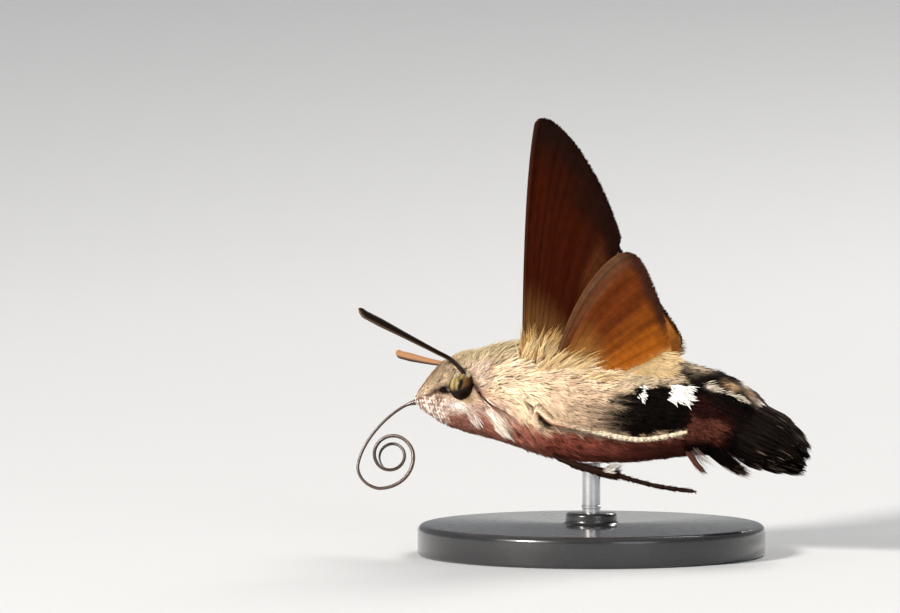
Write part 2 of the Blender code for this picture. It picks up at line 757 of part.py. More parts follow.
def make_legs(grown):
    for side, word in ((-1, "left"), (1, "right")):
        places, radii = leg_stations(FORELEG, side)
        make_leg("foreleg_" + word, "leg_cream", places, radii, 16, grown)
        places, radii = leg_stations(MIDLEG, side)
        make_leg("midleg_" + word, "leg_cream", places, radii, 24, grown)
        places, radii = leg_stations(HINDLEG, side)
        places += [mirrored(point, side) for point in HIND_TARSUS]
        if side > 0:
            for k in range(len(HINDLEG) - 1, len(places)):
                places[k].z += FAR_LEG_TUCK * (0.5 if k < len(HINDLEG) else 1.0)
        radii += [0.26, 0.22]
        leg = make_leg("hindleg_" + word, "leg_brown", places, radii, 22, grown)
        heel = places[len(HINDLEG) - 1]
        spurs = []
        for drop, out in ((-0.75, 0.25), (-0.15, 0.65)):
            heading = Vector((1.0, side * out, drop)).normalized()
            root = heel - heading * 0.15
            tip = heel + heading * SPUR_LENGTH
            spurs.append(lock("spur", root, root.lerp(tip, 0.5), tip, Vector((0, 0, 1)), 0.5, 0.5))
        fuse(leg, spurs, "MANIFOLD")


# Stand

def make_stand(pose, grown):
    """Turned base with a socketed collar, and a rod trimmed to the belly."""
    top = BASE_HEIGHT
    socket = ROD_RADIUS + GAP
    profile = [(0.0, top + COLLAR_HEIGHT - SOCKET_DEPTH), (socket, top + COLLAR_HEIGHT - SOCKET_DEPTH),
               (socket, top + COLLAR_HEIGHT), (COLLAR_RADIUS - 0.3, top + COLLAR_HEIGHT),
               (COLLAR_RADIUS, top + COLLAR_HEIGHT - 0.3), (COLLAR_RADIUS, top),
               (BASE_RADIUS - BASE_EDGE, top), (BASE_RADIUS, top - BASE_EDGE),
               (BASE_RADIUS, BASE_EDGE * 0.5), (BASE_RADIUS - BASE_EDGE * 0.5, 0.0), (0.0, 0.0)]
    mesh = bpy.data.meshes.new("stand_base")
    edges = [(k, k + 1) for k in range(len(profile) - 1)]
    mesh.from_pydata([(x * MM, 0.0, z * MM) for x, z in profile], edges, [])
    base = new_object("stand_base", mesh, "stand_black")
    turn = base.modifiers.new("turn", "SCREW")
    turn.axis = "Z"
    turn.angle = math.tau
    turn.steps = STAND_SIDES
    turn.render_steps = STAND_SIDES
    turn.use_merge_vertices = True
    turn.merge_threshold = 1e-6

    bottom = top + COLLAR_HEIGHT - SOCKET_DEPTH + GAP
    length = pose.location.z / MM - bottom
    grid = bmesh.new()
    bmesh.ops.create_cone(grid, cap_ends=True, segments=16, radius1=ROD_RADIUS * MM,
                          radius2=ROD_RADIUS * MM, depth=length * MM,
                          matrix=Matrix.Translation((0, 0, (bottom + length / 2) * MM)))
    mesh = bpy.data.meshes.new("stand_rod")
    grid.to_mesh(mesh)
    grid.free()
    rod = new_object("stand_rod", mesh, "stand_steel")
    carve(rod, grown)
    smooth(rod)
    return base, rod


def lowest_point(items):
    return min((item.matrix_world @ v.co).z for item in items for v in item.data.vertices)


def place_moth(moth_items):
    """Hang the moth's pieces on an empty that banks and pitches them over the stand."""
    pose = bpy.data.objects.new("moth_pose", None)
    model_collection.objects.link(pose)
    turn = Euler((math.radians(-BANK_DEG), math.radians(PITCH_DEG), 0.0), "XYZ")
    perch = turn.to_matrix() @ (body_point(PERCH_X, -90.0) * MM)
    pose.rotation_euler = turn
    pose.location = (-perch.x, -perch.y, 0.0)
    for item in moth_items:
        item.parent = pose
    bpy.context.view_layer.update()
    nodes = [item for item in moth_items if not item.hide_render]
    base_top = BASE_HEIGHT + BASE_TOP_CLEARANCE
    pose.location.z = base_top * MM - lowest_point(nodes)
    bpy.context.view_layer.update()
    return pose


clear_scene()
random.seed(5)
model_collection = bpy.data.collections.new("hummingbird_hawk_moth")
cutter_collection = bpy.data.collections.new("cutters")
bpy.context.scene.collection.children.link(model_collection)
bpy.context.scene.collection.children.link(cutter_collection)

head, thorax, abdomen_front, abdomen_rear, tail_fan = make_body()
grown_body = cutter("grown_body", body_length("grown_body", 0.0, FAN_CORE_END_X, 40, GAP, 36))
make_face(head)
grow_shoulder_locks(thorax)
tufts_on_both_sides(abdomen_front, WHITE_TUFT)
tufts_on_both_sides(abdomen_rear, PINK_TUFT + BLACK_TUFT + SIDE_TUFT)
grow_fan(tail_fan)
make_antennae(grown_body)
make_proboscis()
make_wings(grown_body)
make_legs(grown_body)
for part in (head, thorax, abdomen_front, abdomen_rear, tail_fan):
    smooth(part)
moth_pose = place_moth(list(model_collection.objects) + [grown_body])
make_stand(moth_pose, grown_body)
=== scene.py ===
"""Looks of the life-size hummingbird hawk moth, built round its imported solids.

Lengths are millimetres in the moth's own frame: x from the snout to the tail, z up, the near
side at -y. They become metres in the shared frame when a mesh is made. A place on the body is
x and the degrees round it from the near flank: 90 is the back, 180 the far flank, -90 the belly.
"""

import math

import bpy
import numpy as np
from mathutils import Euler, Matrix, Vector


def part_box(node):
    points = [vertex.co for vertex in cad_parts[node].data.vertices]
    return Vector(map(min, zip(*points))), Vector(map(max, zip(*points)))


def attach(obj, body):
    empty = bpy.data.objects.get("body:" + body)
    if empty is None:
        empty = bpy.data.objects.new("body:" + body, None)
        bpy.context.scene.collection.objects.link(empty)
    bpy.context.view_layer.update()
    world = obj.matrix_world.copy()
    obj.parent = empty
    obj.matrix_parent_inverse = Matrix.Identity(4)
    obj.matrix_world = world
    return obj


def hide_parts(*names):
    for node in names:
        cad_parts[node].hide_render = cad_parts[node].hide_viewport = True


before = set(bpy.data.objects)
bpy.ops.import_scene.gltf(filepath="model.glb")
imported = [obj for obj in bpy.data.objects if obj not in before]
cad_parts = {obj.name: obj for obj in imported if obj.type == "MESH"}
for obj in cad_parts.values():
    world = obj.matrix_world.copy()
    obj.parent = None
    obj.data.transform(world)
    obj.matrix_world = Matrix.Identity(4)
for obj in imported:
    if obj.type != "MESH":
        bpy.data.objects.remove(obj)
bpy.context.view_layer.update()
rng = np.random.default_rng(11)

# Pose of the moth, as in the solids
MM = 0.001
BANK_DEG = 15.0
PITCH_DEG = 6.5

# Body: x, height of the axis, half height, half width, forward lean of the section in degrees
BODY = np.array([
    (0.0, 0.0, 0.10, 0.22, 0),
    (0.8, 0.5, 1.15, 0.85, 4),
    (1.9, 0.7, 2.15, 1.45, 12),
    (3.4, 0.8, 3.0, 2.0, 24),
    (5.2, 0.95, 3.85, 2.3, 32),
    (7.2, 1.25, 4.2, 3.0, 24),
    (9.4, 1.5, 4.55, 3.55, 12),
    (11.8, 1.65, 4.8, 3.9, 2),
    (14.4, 1.7, 4.8, 4.0, -3),
    (17.0, 1.7, 4.5, 4.0, -5),
    (19.6, 1.8, 4.05, 4.15, -6),
    (21.8, 1.9, 3.6, 4.15, -8),
    (23.5, 1.9, 3.3, 3.95, -12),
    (25.1, 1.6, 2.95, 3.6, -18),
    (26.8, 0.95, 2.3, 3.2, -25),
    (28.6, 0.1, 1.35, 2.4, -30),
    (30.0, -0.6, 0.55, 1.3, -32),
])
FAN = np.array([
    (26.2, 1.1, 2.5, 3.35, -22),
    (28.2, 0.35, 2.35, 3.6, -28),
    (29.9, -0.3, 1.95, 3.8, -30),
    (31.4, -1.0, 1.35, 3.7, -32),
])
SEAM_X = 22.35

# Depth of the coat under the outer form: x, depth
COAT_DEPTH = np.array([(0.0, 0.10), (1.5, 0.22), (4.0, 0.32), (6.0, 0.6), (9.0, 0.8),
                       (14.0, 0.8), (18.0, 0.55), (22.0, 0.42), (26.0, 0.4), (30.0, 0.2)])

# Head
EYE_CENTRE = np.array([3.95, 1.5, 1.28])
EYE_RADII = np.array([0.98, 1.08, 1.16])
PALP_LINE = [(0.4, -13.0), (1.25, -10.0), (1.8, -2.5), (2.45, 0.5), (3.05, 2.5)]
PARTING = [(4.70, 29.0), (5.05, 18.0), (5.28, 8.0), (5.38, -3.0), (5.62, -13.5), (6.0, -20.0),
           (6.55, -26.5), (7.7, -35.5)]
ANTENNA_ON_HEAD = [(4.88, 14.0, -0.12), (4.80, 24.0, 0.14), (4.45, 37.0, 0.20), (3.85, 55.0, 0.22)]
ANTENNA_MID = (-0.6, 5.2, 4.1)
ANTENNA_TIP = (-4.0, 8.4, 5.0)
ANTENNA_WIDTH = [(0.0, 0.15), (0.15, 0.17), (0.4, 0.20), (0.62, 0.26), (0.82, 0.34), (0.94, 0.32),
                 (0.975, 0.25), (0.99, 0.16), (1.0, 0.05)]

# Proboscis
STEM_ARC = [(-0.25, -0.32), (-1.5, -0.95), (-3.5, -3.4), (-3.56, -5.6)]
COIL_CENTRE = (-1.25, -4.5)
COIL_INNER = 0.98
COIL_GROWTH = 2.0
COIL_DECAY_DEG = 150.0
COIL_START_DEG = 262.0
COIL_END_DEG = 965.0
COIL_DRIFT = 0.85
PROBOSCIS_WIDTH = (0.22, 0.11, 0.12, 0.15, 0.12, 0.04)

# Wings: places are (x, reach from the root line, lift to the underside)
STROKE_DEG = 30.0
WING_ROOT = (2.5, 5.2)
FAR_SWEEP_DEG = {"forewing": 10.0, "hindwing": 21.0}
SWEEP_PIVOT_X = 10.0
WING_HALF = 0.055
WINGS = {
    "forewing": {
        "leading": [(8.3, -1.2, 0.0), (7.9, 7.0, 0.0), (7.75, 14.5, 0.2), (8.35, 18.5, 0.5)],
        "margin": [(8.35, 18.5, 0.5), (11.2, 18.1, 0.3), (14.4, 12.6, 0.0), (15.5, 8.6, 0.0)],
        "trailing": [(11.6, -1.2, 0.0), (12.2, 3.0, 0.0), (13.6, 7.0, 0.0), (15.5, 8.6, 0.0)],
        "root": [(8.3, -1.2, 0.0), (11.6, -1.2, 0.0)],
        "veins": [0.05, 0.1, 0.24, 0.32, 0.4, 0.48, 0.56, 0.64, 0.72, 0.8, 0.87],
        "corners": [(0.05, 0.08), (0.06, 0.06)],
    },
    "hindwing": {
        "leading": [(11.0, -1.2, 0.92), (11.9, 3.6, 0.92), (13.8, 7.6, 0.92), (16.2, 8.9, 0.92)],
        "margin": [(16.2, 8.9, 0.92), (18.2, 7.6, 0.92), (19.6, 2.8, 1.0), (20.35, -0.1, 1.5)],
        "trailing": [(14.6, -2.2, 1.9), (16.0, -2.1, 2.0), (18.4, -1.5, 1.9), (20.35, -0.1, 1.5)],
        "root": [(11.0, -1.2, 0.92), (12.8, -2.2, 1.3), (14.6, -2.2, 1.9)],
        "veins": [0.07, 0.14, 0.24, 0.32, 0.41, 0.5, 0.59, 0.68, 0.77, 0.85],
        "corners": [(0.10, 0.09), (0.22, 0.16)],
    },
}

# Legs: x, degrees round the body, lift over it
FORELEG = [(8.0, -68, 0.60), (6.7, -58, 0.61), (6.0, -46, 0.62), (7.1, -44, 0.60),
           (8.3, -48, 0.59), (9.3, -54, 0.58)]
MIDLEG = [(10.9, -62, 0.60), (10.1, -45, 0.64), (10.25, -22, 0.66), (11.7, -31, 0.63),
          (13.4, -33, 0.62), (15.5, -36, 0.60), (17.5, -40, 0.58), (19.6, -42.5, 0.58),
          (22.7, -35, 0.60)]
HINDLEG = [(13.4, 0.3, -1.2), (12.4, 0.4, -1.7), (11.75, 0.75, -2.4), (12.15, 1.2, -3.2),
           (12.94, 1.55, -3.5), (14.17, 1.6, -3.76), (15.38, 1.6, -3.93), (16.43, 1.6, -4.05),
           (17.25, 1.6, -4.1), (18.2, 1.6, -4.26), (19.81, 1.6, -4.46), (21.41, 1.6, -4.56),
           (23.23, 1.6, -4.55)]
THIGH_GAP = [(9.6, -18.5), (10.4, -29.0), (11.3, -41.5)]
FAR_LEG_TUCK = (-0.56, 0.0, 0.53)

# Markings: the edge of the mauve underside, whose colour is partly painted shade, and the rear's spots and
# stripe
MAUVE_EDGE = ([2.2, 2.6, 3.5, 4.1, 4.6, 5.4, 5.9, 6.4, 6.8, 7.2, 8.25, 10.9, 13.3, 15.8, 19, 22.4],
              [76, 47, 38, 51, 38, 41, 60, 68, 56, 42, 42, 45, 45, 44, 46, 49])
COLLAR_EDGE = [(6.95, 32.0), (6.65, 21.0), (6.2, 10.0), (6.0, 2.0), (5.85, -6.0)]
SEGMENT_X = 10.2
SEGMENT_STEP = 2.05
REAR_SPOTS = [(21.4, 70, 0.85, 17, (0.95, 0.74, 0.52)), (24.4, 46, 0.5, 9, (0.50, 0.33, 0.195)),
              (24.9, 76, 0.3, 11, (0.85, 0.78, 0.68)), (25.65, 60, 0.4, 10, (0.52, 0.34, 0.22)),
              (26.6, 60, 0.45, 12, (0.90, 0.76, 0.62)), (27.4, 50, 0.35, 9, (0.10, 0.085, 0.07))]
REAR_STRIPE = [(23.0, 27.5), (23.6, 25.5), (24.25, 24.5), (25.15, 28.5), (25.75, 36.0)]

# Camera, from the photograph: its direction, distance, sensor, and millimetres to a pixel
CAMERA_AZIMUTH = 12.0
CAMERA_ELEVATION = 3.0
CAMERA_DISTANCE = 0.6
SENSOR_MM = 36.0
PIXEL_MM = 0.0781
SNOUT_FROM_CENTRE = (-36.0, -93.5)
IMAGE_WIDTH = 900

# Colours, linear
CREAM = (0.88, 0.66, 0.455)
OLIVE = (0.48, 0.385, 0.235)
THROAT = (0.50, 0.335, 0.26)
# Colour of the underside, darkened as painted shade
SHADED_MAUVE = (0.255, 0.070, 0.048)
PALE_GOLD = (0.76, 0.56, 0.31)
GREY_BROWN = (0.34, 0.25, 0.155)
BLACK = (0.0045, 0.0032, 0.0028)
MAROON = (0.016, 0.005, 0.004)
WHITE = (0.95, 0.91, 0.87)
BEIGE = (0.52, 0.38, 0.25)
PINK_BROWN = (0.115, 0.037, 0.025)
# Painted shade in the gap beside the thigh
GAP_SHADE = (0.030, 0.014, 0.010)


# Small helpers

def unit(vectors):
    return vectors / np.maximum(np.linalg.norm(vectors, axis=-1, keepdims=True), 1e-12)


def ramp(value, start, end):
    """Smooth step from 0 at start to 1 at end."""
    t = np.clip((value - start) / (end - start), 0.0, 1.0)
    return t * t * (3.0 - 2.0 * t)


def bump(x, up, at_x, at_up, wide_x, wide_up):
    return np.exp(-((x - at_x) / wide_x) ** 2 - ((up - at_up) / wide_up) ** 2)


def wander(points, size, seed):
    """Smooth noise between about -1 and 1 over places in millimetres."""
    draw = np.random.default_rng(seed)
    total = 0.0
    for k in range(5):
        heading = unit(draw.normal(size=3)) / size * (1.0 + 0.35 * k)
        total = total + np.sin(points @ heading * math.tau * 0.7 + draw.uniform(0, math.tau))
    return total / 3.0


def blend(colours, mask, target):
    """Move rows of colours toward the target where the mask says."""
    return colours + (np.asarray(target) - colours) * np.clip(mask, 0, 1)[..., None]


# The body's forms

def sections(x, form):
    """Axis height, half height, half width and lean of a form at each x, by Hermite curves."""
    knots = form[:, 0]
    slopes = np.gradient(form[:, 1:], knots, axis=0)
    k = np.clip(np.searchsorted(knots, x) - 1, 0, len(knots) - 2)
    span = (knots[k + 1] - knots[k])[..., None]
    t = (x[..., None] - knots[k][..., None]) / span
    held = ((2 * t**3 - 3 * t**2 + 1) * form[k, 1:] + (3 * t**2 - 2 * t**3) * form[k + 1, 1:]
            + span * ((t**3 - 2 * t**2 + t) * slopes[k] + (t**3 - t**2) * slopes[k + 1]))
    return held[..., 0], held[..., 1], held[..., 2], np.radians(held[..., 3])


def body_at(x, up, grow=0.0, form=BODY):
    """Places on the form, grown outward in their sections."""
    x, up, grow = np.broadcast_arrays(np.asarray(x, float), np.asarray(up, float),
                                      np.asarray(grow, float))
    height, tall, wide, lean = sections(x, form)
    rise = np.maximum(tall + grow, 0.02) * np.sin(np.radians(up))
    out = np.maximum(wide + grow, 0.02) * np.cos(np.radians(up))
    return np.stack([x - np.sin(lean) * rise, -out, height + np.cos(lean) * rise], axis=-1)


def outward_at(x, up, form=BODY):
    along = body_at(x + 0.02, up, 0, form) - body_at(x - 0.02, up, 0, form)
    around = body_at(x, up + 0.5, 0, form) - body_at(x, up - 0.5, 0, form)
    return unit(np.cross(along, around))


def from_line(x, level, line):
    """Millimetres over the body from a line through (x, level) corners."""
    height, tall, wide, lean = sections(x, BODY)
    girth = np.radians(0.5 * (tall + wide))
    near = np.full(np.shape(x), 9.0)
    for start, end in zip(line[:-1], line[1:]):
        ax, av = x - start[0], (level - start[1]) * girth
        bx, bv = end[0] - start[0], (end[1] - start[1]) * girth
        t = np.clip((ax * bx + av * bv) / (bx * bx + bv * bv), 0, 1)
        near = np.minimum(near, np.hypot(ax - t * bx, av - t * bv))
    return near


def rise_at(x, up):
    """Height that the coat gains over a tucked leg and loses in gaps and under an antenna."""
    level = folded(up)
    rise = 0.34 * np.exp(-(from_line(x, level, FORELEG) / 0.38) ** 2)
    rise = rise + 0.36 * np.exp(-(from_line(x, level, MIDLEG[:3]) / 0.42) ** 2)
    rise = rise - 0.34 * np.exp(-(from_line(x, level, PARTING) / 0.24) ** 2)
    rise = rise - 0.60 * np.exp(-(from_line(x, level, THIGH_GAP) / 0.24) ** 2)
    return rise - 0.28 * np.exp(-(from_line(x, level, ANTENNA_ON_HEAD) / 0.22) ** 2)


def depth_at(x):
    return np.interp(x, COAT_DEPTH[:, 0], COAT_DEPTH[:, 1])


def folded(up):
    """Degrees up the flank, the same on both sides, from -90 to 90."""
    return np.degrees(np.arcsin(np.clip(np.sin(np.radians(up)), -1, 1)))


def stroke_at(x, reach, lift, side):
    """Places on the raised wing's plane, side -1 for the near wing and 1 for the far one."""
    stroke = math.radians(STROKE_DEG)
    y = WING_ROOT[0] + reach * math.sin(stroke) + lift * math.cos(stroke)
    z = WING_ROOT[1] + reach * math.cos(stroke) - lift * math.sin(stroke)
    return np.stack([x + 0 * y, side * y, z + 0 * x], axis=-1)


def swept(x, reach, turn_deg):
    turn = math.radians(turn_deg)
    back = x - SWEEP_PIVOT_X
    return (SWEEP_PIVOT_X + back * math.cos(turn) - reach * math.sin(turn),
            reach * math.cos(turn) + back * math.sin(turn))


def bezier(corners, t):
    """Places on a Bezier curve at each t."""
    t = np.asarray(t, float)[..., None]
    left = [np.array(c, float) for c in corners]
    while len(left) > 1:
        left = [(1 - t) * a + t * b for a, b in zip(left, left[1:])]
    return left[0]


def smooth_path(points, steps):
    """Catmull-Rom curve through points in equal parameter steps."""
    knots = np.array([tuple(p) for p in points], float)
    knots = np.vstack([2 * knots[0] - knots[1], knots, 2 * knots[-1] - knots[-2]])
    spans = len(points) - 1
    t = np.linspace(0, spans, steps)
    k = np.minimum(t.astype(int), spans - 1)
    f = (t - k)[:, None]
    a, b, c, d = knots[k], knots[k + 1], knots[k + 2], knots[k + 3]
    return 0.5 * (2 * b + (c - a) * f + (2 * a - 5 * b + 4 * c - d) * f**2
                  + (3 * b - a - 3 * c + d) * f**3)


def even_path(path, steps):
    """The same path in steps of equal length."""
    lengths = np.concatenate([[0], np.cumsum(np.linalg.norm(np.diff(path, axis=0), axis=1))])
    even = np.linspace(0, lengths[-1], steps)
    return np.stack([np.interp(even, lengths, path[:, k]) for k in range(3)], -1)


# Placing the moth where its solids are

turn_matrix = np.array(Euler((math.radians(-BANK_DEG), math.radians(PITCH_DEG), 0.0),
                             "XYZ").to_matrix())
eye_low, eye_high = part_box("eye_left")
eye_middle = (np.array(eye_low) + np.array(eye_high)) / 2
moth_origin = eye_middle - turn_matrix @ (EYE_CENTRE * (1, -1, 1)) * MM


def to_world(points):
    return points @ turn_matrix.T * MM + moth_origin


# Making meshes

def make_piece(name, points, groups, material, nodes=(), colours=None, uv=None,
               in_world=False, facing=None):
    """Mesh piece from places and groups of faces with equally many corners."""
    places = points if in_world else to_world(points)
    corners = np.concatenate([g.ravel() for g in groups])
    sizes = np.concatenate([np.full(len(g), g.shape[1]) for g in groups])
    starts = np.concatenate([[0], np.cumsum(sizes)[:-1]])
    mesh = bpy.data.meshes.new(name)
    mesh.vertices.add(len(places))
    mesh.vertices.foreach_set("co", places.astype(np.float32).ravel())
    mesh.loops.add(len(corners))
    mesh.loops.foreach_set("vertex_index", corners.astype(np.int32))
    mesh.polygons.add(len(sizes))
    mesh.polygons.foreach_set("loop_start", starts.astype(np.int32))
    mesh.update(calc_edges=True)
    mesh.shade_smooth()
    if facing is not None:
        mesh.normals_split_custom_set_from_vertices((facing @ turn_matrix.T).tolist())
    if colours is not None:
        layer = mesh.color_attributes.new("coat", "FLOAT_COLOR", "POINT")
        values = np.ones((len(places), 4), np.float32)
        values[:, :3] = np.clip(colours, 0.0, 1.0)
        layer.data.foreach_set("color", values.ravel())
    if uv is not None:
        layer = mesh.uv_layers.new(name="OFBake")
        shown = uv if len(uv) == len(corners) else uv[corners]
        layer.data.foreach_set("uv", np.clip(shown, 0.0, 1.0).astype(np.float32).ravel())
    made = bpy.data.objects.new(name, mesh)
    bpy.context.scene.collection.objects.link(made)
    mesh.materials.append(material)
    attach(made, "root")
    if nodes:
        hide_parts(*nodes)
    return made


def grid_faces(rows, columns, closed_rows=False):
    """Quads of a grid whose points run row by row; closed_rows joins each row's ends."""
    r = np.arange(rows - 1)[:, None]
    c = np.arange(columns if closed_rows else columns - 1)[None, :]
    n = (c + 1) % columns
    quads = np.stack([r * columns + c, r * columns + n, (r + 1) * columns + n,
                      (r + 1) * columns + c], axis=-1)
    return quads.reshape(-1, 4)


def transported(path):
    """Heading and two sideways directions along a path, turned as little as possible."""
    heading = unit(np.gradient(path, axis=0))
    first = np.cross(heading[0], (0.0, 1.0, 0.0))
    if np.linalg.norm(first) < 0.2:
        first = np.cross(heading[0], (0.0, 0.0, 1.0))
    normals = [unit(first)]
    for k in range(1, len(path)):
        kept = normals[-1] - heading[k] * (normals[-1] @ heading[k])
        normals.append(unit(kept))
    normals = np.array(normals)
    return heading, normals, np.cross(heading, normals)


def tube(path, radii, sides=12):
    """Closed round tube: places, faces, and for each place how far along and round it is."""
    heading, normal, other = transported(path)
    angle = np.linspace(0, math.tau, sides, endpoint=False)
    ring = (normal[:, None] * np.cos(angle)[None, :, None]
            + other[:, None] * np.sin(angle)[None, :, None])
    points = (path[:, None] + ring * radii[:, None, None]).reshape(-1, 3)
    rows = len(path)
    ends = np.array([path[0], path[-1]])
    first, last = len(points), len(points) + 1
    k = np.arange(sides)
    n = (k + 1) % sides
    cap = np.stack([n, k, np.full(sides, first)], axis=-1)
    top = (rows - 1) * sides
    lid = np.stack([top + k, top + n, np.full(sides, last)], axis=-1)
    place = np.concatenate([np.repeat(np.linspace(0, 1, rows), sides), [0.0, 1.0]])
    round_ = np.concatenate([np.tile(angle, rows), [0.0, 0.0]])
    return np.vstack([points, ends]), [grid_faces(rows, sides, True), cap, lid], place, round_


# Tufts: closed three-sided strands

def strands(centres, outward, width, thick, profile, colours, root_uv, soft=True):
    """Strands through rings of centres, the last of which is the tip, as one set of arrays."""
    count, rings = centres.shape[0], centres.shape[1] - 1
    ahead = unit(np.diff(centres, axis=1))
    across = unit(np.cross(ahead, outward[:, None, :]))
    lifted = np.cross(across, ahead)
    taper = np.array(profile)[None, :rings, None]
    half = 0.5 * width[:, None, None] * taper
    high = thick[:, None, None] * taper
    middle = centres[:, :rings]
    ring = np.stack([middle + lifted * high, middle + across * half, middle - across * half], axis=2)
    each = 3 * rings + 1
    points = np.concatenate([ring.reshape(count, 3 * rings, 3), centres[:, rings:]], axis=1)
    faces = []
    for r in range(rings - 1):
        for s in range(3):
            a, b = 3 * r + s, 3 * r + (s + 1) % 3
            faces += [(a, b, b + 3), (a, b + 3, a + 3)]
    last = 3 * (rings - 1)
    faces += [(last + s, last + (s + 1) % 3, each - 1) for s in range(3)] + [(2, 1, 0)]
    faces = np.array(faces)[None] + (np.arange(count) * each)[:, None, None]
    shade = np.concatenate([np.repeat(colours[:, :rings], 3, axis=1), colours[:, rings:]], axis=1)
    # The hair takes most of its shading from the surface that it lies on
    over = outward[:, None, :] + 0.4 * lifted if soft else lifted
    under = over if soft else -0.6 * lifted
    aside = 0.65 * across if soft else across
    facing = np.stack([over, under + aside, under - aside], axis=2)
    facing = np.concatenate([facing.reshape(count, 3 * rings, 3), over[:, -1:]], axis=1)
    t = np.append(np.repeat(np.arange(rings) / rings, 3), 1.0)
    c = np.append(np.tile([0.5, 1.0, 0.0], rings), 0.5)
    patch = np.stack([c - 0.5, t - 0.5], axis=-1) * 0.003
    uv = root_uv[:, None, :] + patch[None]
    return {"points": points, "faces": faces, "colours": shade, "uv": uv, "facing": unit(facing)}


def coat_pieces(name, sets, material, nodes=()):
    """Join sets of strands into pieces of under 200,000 triangles each."""
    waiting = []
    load = 0
    made = []

    def flush():
        nonlocal waiting, load
        if not waiting:
            return
        points, faces, colours, uv, facing = [], [], [], [], []
        base = 0
        for part in waiting:
            points.append(part["points"].reshape(-1, 3))
            colours.append(part["colours"].reshape(-1, 3))
            uv.append(part["uv"].reshape(-1, 2))
            facing.append(part["facing"].reshape(-1, 3))
            start = part["faces"].min()
            faces.append(part["faces"].reshape(-1, 3) - start + base)
            base += len(points[-1])
        word = f"{name}_{len(made) + 1}" if made else name
        made.append(make_piece(word, np.vstack(points), [np.vstack(faces)], material,
                               nodes if not made else (), np.vstack(colours), np.vstack(uv),
                               facing=np.vstack(facing)))
        waiting, load = [], 0

    for part in sets:
        each = part["faces"].shape[1]
        count = part["faces"].shape[0]
        start = 0
        while start < count:
            room = (190000 - load) // each
            if room <= 0:
                flush()
                continue
            stop = min(count, start + room)
            piece = {key: value[start:stop] for key, value in part.items()}
            waiting.append(piece)
            load += (stop - start) * each
            start = stop
    flush()
    return made


def body_uv(x, up):
    return np.stack([(np.asarray(up) % 360.0) / 360.0, np.clip(np.asarray(x) / 32.0, 0, 1)], -1)


def spread_over(count, x_from, x_to, up_from=-90.0, up_to=90.0):
    """Evenly scattered places on both flanks, as many to a square millimetre everywhere."""
    k = np.arange(4 * count)
    x = x_from + (x_to - x_from) * ((0.5 + k * 0.7548776662) % 1.0)
    up = up_from + (up_to - up_from) * ((0.5 + k * 0.5698402910) % 1.0)
    side = np.where((k * 0.6180339887) % 1.0 < 0.5, 0.0, 1.0)
    height, tall, wide, lean = sections(x, BODY)
    girth = tall + wide
    kept = rng.uniform(0, 1, len(x)) < girth / girth.max()
    x, up, side = x[kept][:count], up[kept][:count], side[kept][:count]
    up = np.where(side > 0, 180.0 - up, up)
    return x, up


def lie_of_coat(x, up):
    """Degrees that the hair turns up the flank from straight back."""
    level = folded(up)
    turn = -7.0 * np.ones_like(level)
    turn = turn - 34.0 * bump(x, level, 5.2, -34, 1.9, 30)
    turn = turn + 34.0 * bump(x, level, 11.2, 48, 3.4, 22)
    turn = turn - 14.0 * bump(x, level, 9.6, -8, 2.4, 20)
    turn = turn + 10.0 * bump(x, level, 15.0, 12, 2.5, 18)
    turn = turn + 48.0 * bump(x, level, 5.9, 42, 1.4, 18)
    return turn * np.cos(np.radians(level)) ** 0.5


def combed(x, up, length, turn, high, hairs, spread, gather, rings, form=BODY, sunk=0.1,
           power=0.65, scatter_deg=4.0, wave=0.09):
    """Hair paths in clumps that lie on the body: centres, outward directions, roots, clump."""
    clump = np.repeat(np.arange(len(x)), hairs)
    count = len(clump)
    x0, up0 = x[clump], up[clump]
    reach = length[clump] * rng.uniform(0.72, 1.15, count)
    angle = np.radians(turn[clump] + rng.normal(0, scatter_deg, count))[:, None]
    offset = rng.normal(0, 1, (count, 2)) * spread
    side = np.sign(np.cos(np.radians(up0)))[:, None]
    t = np.linspace(0, 1, rings + 1)[None]
    bend = (rng.normal(0, wave, len(x))[clump] + rng.normal(0, 0.05, count))[:, None] * t
    s = offset[:, :1] * (1 - gather * t) + reach[:, None] * t * np.cos(angle + bend)
    v = offset[:, 1:] * (1 - gather * t) + reach[:, None] * t * np.sin(angle + bend)
    height, tall, wide, lean = sections(x0, form)
    girth = (0.5 * (tall + wide))[:, None]
    px = np.clip(x0[:, None] + s, 0.03, 31.0)
    pu = up0[:, None] + side * np.degrees(v / girth)
    low = -(depth_at(px) + sunk)
    tip = (high[clump] + rng.normal(0, 0.05, count))[:, None]
    tip = tip + rise_at(px, pu)
    centres = body_at(px, pu, low + (tip - low) * t**power, form)
    outward = outward_at(px[:, 0], pu[:, 0], form)
    return centres, outward, px, pu, clump


def shaded(base, rings, root=0.5, tip=1.12, clump_tone=None, tone=0.1):
    """Colours along each strand: dark at the root as painted shade from the hair around it, a little
    lighter at the tip.
    """
    t = np.linspace(0, 1, rings + 1)
    lift = np.clip(t / 0.45, 0, 1)[None, :]
    start = np.broadcast_to(np.asarray(root, float), len(base))[:, None]
    along = start + (0.95 - start) * lift + (tip - 0.95) * np.clip((t - 0.45) / 0.55, 0, 1)[None, :]
    factor = 1.0 + rng.normal(0, tone, len(base))
    if clump_tone is not None:
        factor = factor * clump_tone
    return base[:, None, :] * along[:, :, None] * np.clip(factor, 0.5, 1.6)[:, None, None]


# Markings

def near_eye(points):
    """Distance from the nearer eye in eye radii."""
    mirrored = points * (1, -1, 1)
    centre = EYE_CENTRE * (1, -1, 1)
    left = np.linalg.norm((points - centre) / EYE_RADII, axis=-1)
    right = np.linalg.norm((mirrored - centre) / EYE_RADII, axis=-1)
    return np.minimum(left, right)


def coat_colour(x, up):
    """Colour of the coat at each place: the same formula for skin and tufts."""
    return painted_shade_lines(open_colour(x, up), x, up)


